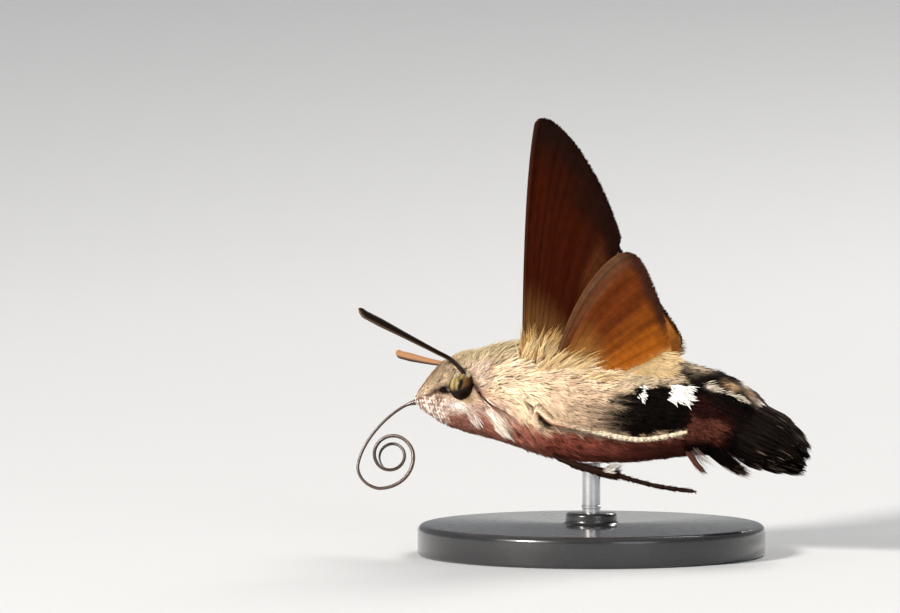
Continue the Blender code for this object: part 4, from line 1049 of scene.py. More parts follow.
def wing_colour(kind, under, u, v):
    """Colour of a wing at (u, v): u from root to margin, v from leading to trailing edge."""
    place = np.stack([9 * u, 6 * v, 0 * u], axis=-1)
    soft = wander(place, 2.4, 41)
    fine = wander(place, 0.7, 43)
    streak = wander(np.stack([1.2 * u, 9 * v, 0 * u], -1), 0.9, 47)
    if kind == "forewing" and under:
        colours = np.ones((*u.shape, 3)) * (0.026, 0.0040, 0.0015)
        colours = blend(colours, 0.5 + 0.5 * streak, (0.034, 0.0060, 0.0022))
        colours = blend(colours, ramp(u + 0.04 * soft, 0.62, 0.97), (0.0105, 0.0042, 0.0030))
        colours = blend(colours, (1 - ramp(u, 0.08, 0.30)) * (0.75 + 0.25 * streak),
                        (0.125, 0.055, 0.018))
        colours = blend(colours, 0.7 * (1 - ramp(v, 0.0, 0.05)), (0.045, 0.02, 0.012))
        colours = blend(colours, 0.45 * ramp(v, 0.75, 1.0) * ramp(u, 0.35, 0.6)
                        * (1 - ramp(u, 0.75, 0.9)), (0.10, 0.034, 0.012))
    elif kind == "forewing":
        colours = np.ones((*u.shape, 3)) * (0.175, 0.135, 0.095)
        colours = blend(colours, 0.5 + 0.5 * soft, (0.125, 0.097, 0.07))
        for at, strength in ((0.33, 0.75), (0.37, 0.5), (0.60, 0.8), (0.66, 0.45)):
            bent = u - at - 0.035 * np.sin(v * 11.0 + at * 9) - 0.05 * (v - 0.5)
            colours = blend(colours, strength * np.exp(-(bent / 0.011) ** 2), (0.035, 0.026, 0.02))
        colours = blend(colours, 0.45 * np.exp(-((u - 0.47) / 0.08) ** 2), (0.10, 0.08, 0.06))
        spot = ((u - 0.49) / 0.025) ** 2 + ((v - 0.36) / 0.05) ** 2
        colours = blend(colours, 0.9 * np.exp(-spot), (0.02, 0.015, 0.012))
        colours = blend(colours, 0.8 * ramp(u + 0.02 * fine, 0.86, 0.97), (0.055, 0.042, 0.032))
    elif under:
        colours = np.ones((*u.shape, 3)) * (0.110, 0.025, 0.0055)
        colours = blend(colours, ramp(v, 0.36, 0.75), (0.26, 0.072, 0.0075))
        colours = blend(colours, ramp(v + 0.02 * streak, 0.80, 0.95), (0.60, 0.37, 0.12))
        colours = blend(colours, 1 - ramp(v + 0.03 * streak, 0.05, 0.24), (0.10, 0.05, 0.026))
        colours = blend(colours, (0.35 + 0.35 * streak) * (1 - ramp(v, 0.6, 0.8)),
                        (0.070, 0.016, 0.0045))
        colours = blend(colours, 0.8 * (1 - ramp(u, 0.1, 0.5)) * ramp(v, 0.1, 0.4),
                        (0.30, 0.14, 0.033))
        colours = blend(colours, ramp(u + 0.03 * soft, 0.87, 1.01) * (1 - 0.9 * ramp(v, 0.60, 0.86)),
                        (0.035, 0.013, 0.008))
    else:
        colours = np.ones((*u.shape, 3)) * (0.58, 0.21, 0.035)
        colours = blend(colours, 0.3 + 0.4 * streak, (0.48, 0.155, 0.03))
        colours = blend(colours, ramp(u + 0.03 * soft, 0.80, 0.94) * (1 - 0.85 * ramp(v, 0.55, 0.8)),
                        (0.055, 0.028, 0.02))
        colours = blend(colours, 0.9 * (1 - ramp(u + 0.04 * streak, 0.08, 0.24)), (0.06, 0.04, 0.028))
        colours = blend(colours, 0.8 * (1 - ramp(v, 0.03, 0.14)), (0.35, 0.20, 0.11))
    return colours * (1.0 + 0.10 * fine)[..., None]


def rounded_corner(u, v, radius_u, radius_v, near_margin, near_leading):
    """Round one corner of the patch: a square near the corner is mapped on to a quarter disc."""
    p = (radius_u - (1 - u if near_margin else u)) / radius_u
    q = (radius_v - (v if near_leading else 1 - v)) / radius_v
    inside = (p > 0) & (q > 0)
    round_p = p * np.sqrt(np.maximum(1 - q * q / 2, 0))
    round_q = q * np.sqrt(np.maximum(1 - p * p / 2, 0))
    new_u = radius_u * (1 - round_p)
    new_v = radius_v * (1 - round_q)
    u = np.where(inside, 1 - new_u if near_margin else new_u, u)
    v = np.where(inside, new_v if near_leading else 1 - new_v, v)
    return u, v


def coons(kind, u, v):
    """Places (x, reach, lift) on a wing's patch between four edges, for arrays of u and v."""
    edges = WINGS[kind]
    for near_leading, radii in zip((True, False), edges["corners"]):
        u, v = rounded_corner(u, v, radii[0], radii[1], True, near_leading)
    leading, trailing = bezier(edges["leading"], u), bezier(edges["trailing"], u)
    root, margin = bezier(edges["root"], v), bezier(edges["margin"], v)
    uu, vv = u[..., None], v[..., None]
    flat = ((1 - uu) * (1 - vv) * np.array(edges["leading"][0], float)
            + uu * (1 - vv) * np.array(edges["leading"][-1], float)
            + (1 - uu) * vv * np.array(edges["trailing"][0], float)
            + uu * vv * np.array(edges["trailing"][-1], float))
    return (1 - vv) * leading + vv * trailing + (1 - uu) * root + uu * margin - flat


def wing_places(kind, side, u, v):
    patch = coons(kind, u, v)
    turn_deg = FAR_SWEEP_DEG[kind] if side > 0 else 0.0
    x, reach = swept(patch[..., 0], patch[..., 1], turn_deg)
    return stroke_at(x, reach, patch[..., 2], side)


def make_wing(kind, side, word):
    """Thin membrane with raised veins and soft pleats, coloured apart on its two faces."""
    u = 1 - (1 - np.linspace(0, 1, 76)) ** 1.5
    v = 0.5 - 0.5 * np.cos(np.linspace(0, 1, 140) ** 0.9 * math.pi)
    uu, vv = np.meshgrid(u, v, indexing="ij")
    centre = wing_places(kind, side, uu, vv)
    normal = unit(np.cross(np.gradient(centre, axis=0), np.gradient(centre, axis=1)))
    # The normal is turned to the underside, which faces away from the body
    outward = stroke_at(np.zeros(1), np.zeros(1), np.ones(1), side) - stroke_at(
        np.zeros(1), np.zeros(1), np.zeros(1), side)
    facing = np.sign((normal * outward).sum(-1))[..., None]
    normal = normal * facing
    ridges = np.zeros_like(vv)
    for vein in WINGS[kind]["veins"]:
        ridges += np.exp(-((vv - vein) / 0.009) ** 2)
    pleats = np.sin(vv * math.tau * 5.5 + 1.2 * uu) * ramp(uu, 0.15, 0.7) * 0.04
    pleats = pleats + 0.012 * np.sin(vv * math.tau * 13 + 3.0)
    edge = np.minimum(np.minimum(1 - uu, 8 * vv), 8 * (1 - vv))
    half = WING_HALF * (0.35 + 0.65 * ramp(edge, 0.0, 0.08)) + 0.05 * ridges * (1 - 0.6 * uu)
    middle = centre + normal * (pleats * ramp(edge, 0.0, 0.15))[..., None]
    faces_points = [middle + normal * half[..., None], middle - normal * half[..., None]]
    shades, uvs = [], []
    for face, under in enumerate((True, False)):
        tint = wing_colour(kind, under, uu, vv)
        tint = tint * (1.0 - 0.12 * np.clip(ridges, 0, 1) * ramp(uu, 0.1, 0.3))[..., None]
        shades.append(tint.reshape(-1, 3))
        uvs.append(np.stack([0.01 + 0.47 * uu + 0.5 * face, 0.01 + 0.98 * vv], -1).reshape(-1, 2))
    rows, columns = len(u), len(v)
    quads = grid_faces(rows, columns)
    count = rows * columns
    a, b, d = quads[0][0], quads[0][1], quads[0][3]
    flat = faces_points[0].reshape(-1, 3)
    winding = np.cross(flat[b] - flat[a], flat[d] - flat[a]) @ normal[0, 0]
    first = quads if winding > 0 else quads[:, ::-1]
    second = quads[:, ::-1] + count if winding > 0 else quads + count
    rim = np.concatenate([np.arange(columns), np.arange(1, rows) * columns + columns - 1,
                          (rows - 1) * columns + np.arange(columns - 2, -1, -1),
                          np.arange(rows - 2, 0, -1) * columns])
    after = np.roll(rim, -1)
    sides = np.stack([after, rim, rim + count, after + count], -1)
    if winding <= 0:
        sides = sides[:, ::-1]
    make_piece(f"moth_{kind}_{word}", np.vstack([flat, faces_points[1].reshape(-1, 3)]),
               [first, second, sides], wing_look, (f"{kind}_{word}",),
               np.vstack(shades), np.vstack(uvs))
    make_fringe(kind, side, word)


def make_fringe(kind, side, word):
    """Fringe scales along the margin and the trailing edge of a wing."""
    sets = []
    for edge, count in (("margin", 1100 if kind == "forewing" else 950), ("trailing", 500)):
        along = np.sort(rng.uniform(0.0, 1.0, count))
        if edge == "trailing":
            along = along * 0.85 + 0.15
        places = []
        for part in (0.97, 1.0):
            if edge == "margin":
                patch = coons(kind, np.full(count, part), along)
            else:
                patch = coons(kind, along, np.full(count, part))
            places.append(patch)
        heading = unit(places[1] - places[0])
        reach = rng.uniform(0.24, 0.42, count) * (1.0 if edge == "margin" else 0.8)
        if edge == "margin":
            reach = reach * (0.3 + 0.7 * ramp(along, 0.02, 0.16))
        if kind == "hindwing" and edge == "trailing":
            reach = reach * (1.8 if side < 0 else 0.9)
        turn_deg = FAR_SWEEP_DEG[kind] if side > 0 else 0.0
        wobble = rng.normal(0, 0.03, (count, 3)) * (1, 1, 1.5)
        steps = []
        for part in (-0.12, 0.35, 1.0):
            step = places[1] + heading * (reach * part)[:, None] + wobble * max(part, 0)
            x, out = swept(step[:, 0], step[:, 1], turn_deg)
            steps.append(stroke_at(x, out, step[:, 2], side))
        centres = np.stack(steps, axis=1)
        flat = np.zeros(count)
        outward = unit(stroke_at(flat, flat, flat + 1, side) - stroke_at(flat, flat, flat, side))
        u = np.ones(count) if edge == "margin" else along
        v = along if edge == "margin" else np.ones(count)
        base = wing_colour(kind, True, u, v) * 1.1
        if kind == "hindwing" and edge == "trailing":
            base = base * 0 + PALE_GOLD
        widths = rng.uniform(0.10, 0.16, count)
        root_uv = np.stack([0.01 + 0.47 * u, 0.01 + 0.98 * v], -1)
        sets.append(strands(centres, outward, widths, 0.5 * widths, [1.0, 0.8],
                            shaded(base, 2, 0.9, 1.15, tone=0.15), root_uv, False))
    coat_pieces(f"fringe_{kind}_{word}", sets, wing_look)


# Eyes, antennae and proboscis

def make_eyes():
    """Round glossy eyes with pale bands over a dark lower half."""
    for side, word in ((-1, "left"), (1, "right")):
        polar = np.linspace(0, math.pi, 60)[1:-1]
        turn = np.linspace(0, math.tau, 96, endpoint=False)
        p, a = np.meshgrid(polar, turn, indexing="ij")
        # The pole of the rings looks outward
        local = np.stack([np.sin(p) * np.cos(a), side * np.cos(p), np.sin(p) * np.sin(a)], -1)
        ends = np.array([[0, side * 1.0, 0], [0, side * -1.0, 0]])
        everything = np.vstack([local.reshape(-1, 3), ends])
        x, z = everything[:, 0], everything[:, 2]
        colours = np.ones((len(everything), 3)) * (0.30, 0.225, 0.085)
        bands = 0.5 + 0.5 * np.cos((x + 0.22 * z) * 15.0 + 1.6)
        colours = blend(colours, 0.85 * bands, (0.10, 0.055, 0.018))
        colours = blend(colours, ramp(-x, 0.42, 0.75) * ramp(z, -0.6, 0.1), (0.38, 0.30, 0.13))
        colours = blend(colours, ramp(x - 0.12 * z, 0.15, 0.40), (0.115, 0.050, 0.014))
        colours = blend(colours, ramp(x + 0.1 * z, 0.50, 0.80), (0.020, 0.009, 0.004))
        colours = blend(colours, ramp(-z + 0.30 * x + 0.3 * x * x, 0.12, 0.50), (0.010, 0.004, 0.002))
        pupil = ((x - 0.03 - 0.1 * z) / 0.20) ** 2 + ((z + 0.02) / 0.46) ** 2
        colours = blend(colours, 1.2 * np.exp(-pupil**2), (0.010, 0.006, 0.004))
        points = everything * EYE_RADII + EYE_CENTRE * (1, side, 1)
        rows, columns = p.shape
        quads = grid_faces(rows, columns, True)
        k = np.arange(columns)
        n = (k + 1) % columns
        top = (rows - 1) * columns
        cap = np.stack([n, k, np.full(columns, len(points) - 2)], -1)
        lid = np.stack([top + k, top + n, np.full(columns, len(points) - 1)], -1)
        groups = [quads, cap, lid]
        sample = points[quads[5]]
        out = np.cross(sample[1] - sample[0], sample[3] - sample[0]) @ (
            sample[0] - EYE_CENTRE * (1, side, 1))
        if out < 0:
            groups = [g[:, ::-1] for g in groups]
        make_piece("moth_eye_" + word, points, groups, eye_look, ("eye_" + word,), colours)


def hair_round_eyes():
    """Fine hair that frames each eye, with a fringe of it hanging over the eye's top."""
    sets = []
    for side in (-1, 1):
        count = 520
        angle = rng.uniform(0, math.tau, count)
        reach = rng.uniform(1.0, 1.16, count)
        heading = np.stack([np.cos(angle), 0 * angle, np.sin(angle)], -1)
        ring = EYE_CENTRE * (1, side, 1) + heading * EYE_RADII * reach[:, None]
        height, tall, wide, lean = sections(ring[:, 0], BODY)
        rise = np.clip((ring[:, 2] - height) / tall, -0.98, 0.98)
        ring[:, 1] = side * wide * np.sqrt(1 - rise**2) - side * 0.28
        way = unit(heading * 0.55 + np.array([0.62, side * 0.10, -0.16])
                   + rng.normal(0, 0.16, (count, 3)))
        size = rng.uniform(0.25, 0.6, count)
        centres = np.stack([ring - 0.08 * way, ring + way * (0.5 * size)[:, None],
                            ring + way * size[:, None] - np.array([0, side * 0.08, 0])], axis=1)
        clear = near_eye(centres).min(axis=1) > 0.96
        centres, angle = centres[clear], angle[clear]
        level = np.degrees(np.arcsin(rise[clear]))
        base = coat_colour(centres[:, 0, 0], level)
        base = blend(base, bump(np.cos(angle), np.sin(angle), 0.7, -0.7, 0.5, 0.5),
                     (0.36, 0.25, 0.14))
        outward = np.tile([0.0, float(side), 0.0], (len(angle), 1))
        widths = rng.uniform(0.03, 0.055, len(angle))
        up = np.full(len(angle), 10.0 if side < 0 else 170.0)
        shades = painted_shade_lines(shaded(base, 2, 0.5, 1.1, tone=0.16), *place_under(centres))
        sets.append(strands(centres, outward, widths, 0.4 * widths, [0.8, 1.0], shades,
                            body_uv(centres[:, 0, 0], up)))
        count = 130
        angle = np.radians(rng.uniform(60, 140, count))
        drop = rng.uniform(0.12, 0.55, count)
        steps = []
        for part in (0.0, 0.35, 0.7, 1.0):
            turn = angle + 0.22 * part * np.sign(angle - 1.75)
            out = 1.10 - drop * part
            flat = np.stack([out * np.cos(turn) + 0.10 * part, out * np.sin(turn)], -1)
            bulge = np.sqrt(np.maximum(1.10 - (flat**2).sum(-1), 0.0)) + 0.02
            steps.append(np.stack([flat[:, 0], side * np.maximum(bulge, 0.18), flat[:, 1]], -1))
        centres = np.stack(steps, axis=1) * EYE_RADII + EYE_CENTRE * (1, side, 1)
        outward = np.tile([0.0, float(side), 0.0], (count, 1))
        tint = rng.uniform(0, 1, count)[:, None]
        base = tint * np.array((0.62, 0.52, 0.36)) + (1 - tint) * np.array((0.22, 0.17, 0.10))
        widths = rng.uniform(0.03, 0.06, count)
        up = np.full(count, 30.0 if side < 0 else 150.0)
        sets.append(strands(centres, outward, widths, 0.4 * widths, [0.9, 1.0, 0.7],
                            shaded(base, 3, 0.6, 1.1, tone=0.12), body_uv(centres[:, 0, 0], up)))
    coat_pieces("coat_eye_rings", sets, fur_look)


def make_antennae():
    """Ringed clubs that end in a fine hooked tip."""
    for side, word in ((-1, "left"), (1, "right")):
        head = [body_at(*place) * (1, -side, 1) for place in ANTENNA_ON_HEAD]
        middle = np.array(ANTENNA_MID) * (1, side, 1)
        tip = np.array(ANTENNA_TIP) * (1, side, 1)
        root = head[-1] + 0.25 * (middle - head[-1])
        arc = bezier([root, root + 0.7 * (middle - root), middle, tip], np.linspace(0, 0.985, 9))
        path = even_path(smooth_path([*head, *arc], 600), 420)
        t = np.linspace(0, 1, 420)
        known = np.array(ANTENNA_WIDTH)
        radii = np.interp(t, known[:, 0], known[:, 1])
        rings = 0.5 + 0.5 * np.cos(t * math.tau * 62)
        radii = radii * (1.0 - 0.07 * rings**3)
        # Fine hook at the end, bent back over the club
        hook = ramp(t, 0.93, 1.0)
        path = path + hook[:, None] * np.array([0.10, 0.0, 0.16])
        points, groups, along, turn = tube(path, radii, 16)
        dark = np.ones((len(points), 3)) * (0.014, 0.006, 0.005)
        heading, normal, other = transported(path)
        level = np.repeat(path[:, 2], 16)
        below = np.concatenate([(points[:-2, 2] - level) / np.repeat(radii, 16), [0, 0]])
        dark = blend(dark, ramp(-below, 0.6, 0.95) * 0.6 * (side < 0), (0.30, 0.18, 0.10))
        # Painted light: the far antenna is tan over its upper side, as if lit, and dark only along its
        # lower edge
        if side > 0:
            dark = blend(dark, 1 - ramp(-below, 0.35, 0.7), (0.40, 0.205, 0.105))
        ringed = np.concatenate([np.repeat(rings, 16), [0, 0]])
        dark = dark * (1.0 - 0.35 * ringed**3)[:, None]
        make_piece("moth_antenna_" + word, points, groups, antenna_look,
                   ("antenna_" + word,), dark)


def coil_at(angle_deg):
    reach = COIL_INNER + COIL_GROWTH * np.exp(-(angle_deg - COIL_START_DEG + 12.0)
                                              / COIL_DECAY_DEG)
    angle = np.radians(angle_deg)
    turns = np.maximum(0.0, angle_deg - COIL_START_DEG - 90.0) / 360.0
    return np.stack([COIL_CENTRE[0] + reach * np.cos(angle), COIL_DRIFT * turns,
                     COIL_CENTRE[1] + reach * np.sin(angle)], -1)


def make_proboscis():
    """One long tapering tube: arched stem, then the coil, with a painted highlight down one side."""
    stem = bezier([(p[0], 0.0, p[1]) for p in STEM_ARC], np.linspace(-0.12, 1, 70))
    start = coil_at(np.array([COIL_START_DEG]))[0]
    corners = [(STEM_ARC[3][0], 0, STEM_ARC[3][1]), (STEM_ARC[3][0] - 0.02, 0, STEM_ARC[3][1] - 0.95),
               (start[0] - 0.95, 0, start[2] + 0.02), tuple(start)]
    bend = bezier(corners, np.linspace(0, 1, 40)[1:])
    coil = coil_at(np.arange(COIL_START_DEG + 3, COIL_END_DEG, 3.0))
    path = np.vstack([stem, bend, coil])
    path = even_path(path, 620)
    along = np.linspace(0, 1, len(path))
    radii = np.interp(along, [0, 0.03, 0.3, 0.5, 0.93, 1.0], PROBOSCIS_WIDTH)
    radii = radii * (1.0 + 0.035 * np.sin(along * math.tau * 190))
    points, groups, place, turn = tube(path, radii, 14)
    colours = np.ones((len(points), 3)) * (0.030, 0.014, 0.009)
    # Painted highlight: a paler stripe down one side of the tube, as a glint
    colours = blend(colours, ramp(np.cos(turn - 2.2), 0.4, 0.95) * 0.5, (0.13, 0.065, 0.035))
    colours = blend(colours, 0.5 * ramp(np.sin(place * 310), 0.4, 1.0), (0.03, 0.014, 0.010))
    make_piece("moth_proboscis", points, groups, proboscis_look,
               ("proboscis_stem", "proboscis_bend", "proboscis_loop_lower",
                "proboscis_loop_upper", "proboscis_coil"), colours)


# Legs

def leg_path(stations, side, steps, sunk):
    """Path of a tucked leg, sunk under its solid so that the coat can cover it."""
    x, up, lift = np.array(stations, float).T
    places = body_at(x, up) + outward_at(x, up) * (lift - np.array(sunk + (0,) * len(x))[:len(x)])[:, None]
    return smooth_path(places * (1, -side, 1), steps)


def horn(path, radius, sides=8):
    """Tapering pointed tube along a short path."""
    radii = radius * (1.0 - np.linspace(0, 1, len(path)) ** 1.5) + 0.012
    return tube(path, radii, sides)


def joined(parts):
    """One set of places, face groups and colours from several tubes."""
    points, groups, colours = [], [], []
    base = 0
    for part_points, part_groups, part_colours in parts:
        points.append(part_points)
        colours.append(part_colours)
        groups += [g + base for g in part_groups]
        base += len(part_points)
    return np.vstack(points), groups, np.vstack(colours)


def place_under(points):
    """Place on the body, x and degrees round it, under points that lie just over it."""
    x = points[..., 0]
    for _ in range(4):
        height, tall, wide, lean = sections(x, BODY)
        rise = (points[..., 2] - height) / np.cos(lean)
        x = points[..., 0] + np.sin(lean) * rise
    return x, np.degrees(np.arctan2(rise / tall, -points[..., 1] / wide))


def coat_under(points):
    """Colour of the coat next to places just over the body."""
    return open_colour(*place_under(points))


def make_leg(name, node, path, thick, joints, spur_places, colour, dark, side, tucked=0.0):
    """Jointed leg with spurs and a pair of claws."""
    steps = len(path)
    along = np.linspace(0, 1, steps)
    radii = np.interp(along, thick[0], thick[1])
    for joint in joints:
        radii = radii * (1.0 + 0.16 * np.exp(-((along - joint + 0.008) / 0.006) ** 2))
        radii = radii * (1.0 - 0.25 * np.exp(-((along - joint - 0.004) / 0.004) ** 2))
    points, groups, place, turn = tube(path, radii, 14)
    colours = np.ones((len(points), 3)) * colour
    if tucked > 0:
        # Painted light: the tucked part takes the coat's colour a quarter lighter, to lift the shade on
        # the tube
        beside = 1.25 * coat_under(points)
        colours = blend(colours, 1 - ramp(place, tucked - 0.08, tucked), beside)
        # Painted shade: the tube's lower side turns to the shaded mauve, as shadow under the leg
        fallen = (np.repeat(path[:, 2], 14) - points[:-2, 2]) / np.repeat(radii, 14)
        colours = blend(colours, 0.85 * ramp(np.append(fallen, [0, 0]), 0.2, 0.7), SHADED_MAUVE)
    for joint in joints:
        colours = blend(colours, 0.7 * np.exp(-((place - joint) / 0.006) ** 2), dark)
    parts = [(points, groups, colours)]
    heading, normal, other = transported(path)
    for at, size, pale in spur_places:
        k = int(at * (steps - 1))
        for sway in (-1, 1):
            way = unit(heading[k] + 0.35 * sway * other[k] - 0.35 * normal[k])
            spur = path[k] + way * np.linspace(0, size * (1 - 0.2 * (sway > 0)), 10)[:, None]
            p, g, a, r = horn(spur, 0.075)
            parts.append((p, g, np.ones((len(p), 3)) * pale))
    for sway in (-1, 1):
        t = np.linspace(0, 1, 8)[:, None]
        claw = (path[-1] + heading[-1] * 0.32 * t + other[-1] * 0.12 * sway * t
                - normal[-1] * 0.16 * t**2)
        p, g, a, r = horn(claw, 0.05, 6)
        parts.append((p, g, np.ones((len(p), 3)) * (0.03, 0.015, 0.01)))
    all_points, all_groups, all_colours = joined(parts)
    make_piece(name, all_points, all_groups, leg_look, (node,), all_colours)
    return path, radii, heading, normal, other


def leg_scales(leg, count, size, width, colour, stand, from_to=(0.02, 0.97), bands=0, tone=0.14,
               upper=False):
    """Scales and short spines along a leg, lying toward its foot."""
    path, radii, heading, normal, other = leg
    steps = len(path)
    at = rng.uniform(*from_to, count)
    k = (at * (steps - 1)).astype(int)
    turn = rng.uniform(0, math.tau, count)
    out = normal[k] * np.cos(turn)[:, None] + other[k] * np.sin(turn)[:, None]
    if upper:
        out = np.where(out[:, 2:] < 0, -out, out)
    reach = size * rng.uniform(0.7, 1.25, count)
    root = path[k] + out * (radii[k] * 0.85)[:, None]
    middle = root + heading[k] * (0.5 * reach)[:, None] + out * (0.02 + 0.5 * stand * reach)[:, None]
    tip = root + heading[k] * reach[:, None] + out * (stand * reach)[:, None]
    centres = np.stack([root, middle, tip], axis=1)
    widths = width * rng.uniform(0.7, 1.2, count)
    base = 0.9 * coat_under(root) if colour is None else np.ones((count, 3)) * colour
    if bands:
        base = blend(0.9 * coat_under(root), ramp(at, from_to[0], from_to[0] + 0.14), base)
        base = base * (0.62 + 0.38 * ramp(np.sin(at * math.tau * bands), -0.8, 0.1))[:, None]
    uv = np.stack([turn / math.tau, at], -1)
    return strands(centres, out, widths, 0.35 * widths, [0.9, 1.0],
                   shaded(base, 2, 0.7, 1.15, tone=tone), uv)


def make_legs():
    cream, brown, dark = (0.60, 0.50, 0.36), (0.16, 0.09, 0.06), (0.06, 0.032, 0.022)
    for side, word in ((-1, "left"), (1, "right")):
        path = leg_path(FORELEG, side, 160, sunk=(0.62,) * 6)
        leg = make_leg("moth_foreleg_" + word, "foreleg_" + word, path,
                       ([0, 0.4, 0.6, 1], [0.22, 0.20, 0.15, 0.10]), (0.4, 0.62, 0.74, 0.84, 0.92),
                       ((0.6, 0.4, cream),), (0.56, 0.36, 0.28), (0.2, 0.1, 0.08),
                       side, 2.0)
        sets = []
        path = leg_path(MIDLEG, side, 320, sunk=(0.62, 0.64, 0.62, 0.42, 0.32, 0.18, 0.05))
        leg = make_leg("moth_midleg_" + word, "midleg_" + word, path,
                       ([0, 0.2, 0.35, 0.6, 1], [0.22, 0.22, 0.22, 0.21, 0.17]),
                       (0.22, 0.52, 0.70, 0.79, 0.87, 0.94), ((0.51, 0.9, cream),),
                       cream, (0.20, 0.13, 0.08), side, 0.58)
        sets.append(leg_scales(leg, 1500, 0.20, 0.085, (0.78, 0.69, 0.52), 0.16, (0.465, 0.98), 38))
        sets.append(leg_scales(leg, 1500, 0.5, 0.065, None, 0.28, (0.2, 0.62), tone=0.25,
                               upper=True))
        sets.append(leg_scales(leg, 120, 0.34, 0.04, (0.30, 0.20, 0.13), 0.45, (0.25, 0.6)))
        coat_pieces("coat_legs_cream_" + word, sets, fur_look)
        tuck = np.array(FAR_LEG_TUCK) * (side > 0)
        path = smooth_path([np.array(p) * (1, side, 1) + tuck for p in HINDLEG], 320)
        # Painted shade: the hindlegs and their scales are near black, standing in for the shadow under the
        # belly
        leg = make_leg("moth_hindleg_" + word, "hindleg_" + word, path,
                       ([0, 0.15, 0.3, 0.5, 0.63, 0.69, 1],
                        [0.13, 0.14, 0.18, 0.28, 0.28, 0.17, 0.15]),
                       (0.2, 0.67, 0.75, 0.83, 0.89, 0.94), ((0.6, 0.5, (0.05, 0.03, 0.02)),
                                                             (0.66, 0.5, (0.05, 0.03, 0.02))),
                       (0.017, 0.007, 0.005), (0.010, 0.005, 0.004), side)
        sets = [leg_scales(leg, 1300, 0.20, 0.07, (0.018, 0.0075, 0.0055), 0.12),
                leg_scales(leg, 110, 0.26, 0.045, (0.022, 0.010, 0.008), 0.6, (0.55, 0.99)),
                leg_scales(leg, 300, 0.5, 0.07, (0.028, 0.012, 0.008), 0.30, (0.36, 0.64)),
                leg_scales(leg, 120, 0.75, 0.035, (0.85, 0.80, 0.74), 1.0, (0.54, 0.61),
                           upper=True)]
        coat_pieces("coat_legs_dark_" + word, sets, fur_look)


# Stand

def turned(name, profile, sides, material, node):
    """Solid of revolution round the stand's axis, from (radius, height) in metres."""
    angle = np.linspace(0, math.tau, sides, endpoint=False)
    profile = np.array(profile)
    ring = np.stack([np.cos(angle), np.sin(angle)], -1)
    points = np.concatenate([profile[:, None, :1] * ring[None], np.repeat(
        profile[:, None, 1:], sides, axis=1)], axis=-1).reshape(-1, 3)
    quads = grid_faces(len(profile), sides, True)
    made = make_piece(name, points, [quads], material, (node,), in_world=True)
    made.data.set_sharp_from_angle(angle=math.radians(35))
    return made


def acrylic_material():
    made = bpy.data.materials.new("stand_black")
    made.use_nodes = True
    nodes, links = made.node_tree.nodes, made.node_tree.links
    shader = nodes["Principled BSDF"]
    shader.inputs["Coat Weight"].default_value = 0.6
    shader.inputs["Coat Roughness"].default_value = 0.05
    place = nodes.new("ShaderNodeTexCoord")
    noise = nodes.new("ShaderNodeTexNoise")
    noise.inputs["Scale"].default_value = 900.0
    noise.inputs["Detail"].default_value = 4.0
    tint = nodes.new("ShaderNodeValToRGB")
    tint.color_ramp.elements[0].color = (0.012, 0.012, 0.013, 1)
    tint.color_ramp.elements[1].color = (0.022, 0.022, 0.024, 1)
    rough = nodes.new("ShaderNodeMapRange")
    rough.inputs["To Min"].default_value = 0.18
    rough.inputs["To Max"].default_value = 0.34
    links.new(place.outputs["Object"], noise.inputs["Vector"])
    links.new(noise.outputs["Fac"], tint.inputs["Fac"])
    links.new(tint.outputs["Color"], shader.inputs["Base Color"])
    links.new(noise.outputs["Fac"], rough.inputs["Value"])
    links.new(rough.outputs["Result"], shader.inputs["Roughness"])
    return made


def steel_material():
    made = bpy.data.materials.new("stand_steel")
    made.use_nodes = True
    nodes, links = made.node_tree.nodes, made.node_tree.links
    shader = nodes["Principled BSDF"]
    shader.inputs["Metallic"].default_value = 1.0
    place = nodes.new("ShaderNodeTexCoord")
    mapping = nodes.new("ShaderNodeMapping")
    mapping.inputs["Scale"].default_value = (1, 1, 14)
    noise = nodes.new("ShaderNodeTexNoise")
    noise.inputs["Scale"].default_value = 1500.0
    tint = nodes.new("ShaderNodeValToRGB")
    tint.color_ramp.elements[0].color = (0.52, 0.53, 0.54, 1)
    tint.color_ramp.elements[1].color = (0.70, 0.71, 0.72, 1)
    rough = nodes.new("ShaderNodeMapRange")
    rough.inputs["To Min"].default_value = 0.2
    rough.inputs["To Max"].default_value = 0.42
    links.new(place.outputs["Object"], mapping.inputs["Vector"])
    links.new(mapping.outputs["Vector"], noise.inputs["Vector"])
    links.new(noise.outputs["Fac"], tint.inputs["Fac"])
    links.new(tint.outputs["Color"], shader.inputs["Base Color"])
    links.new(noise.outputs["Fac"], rough.inputs["Value"])
    links.new(rough.outputs["Result"], shader.inputs["Roughness"])
    return made


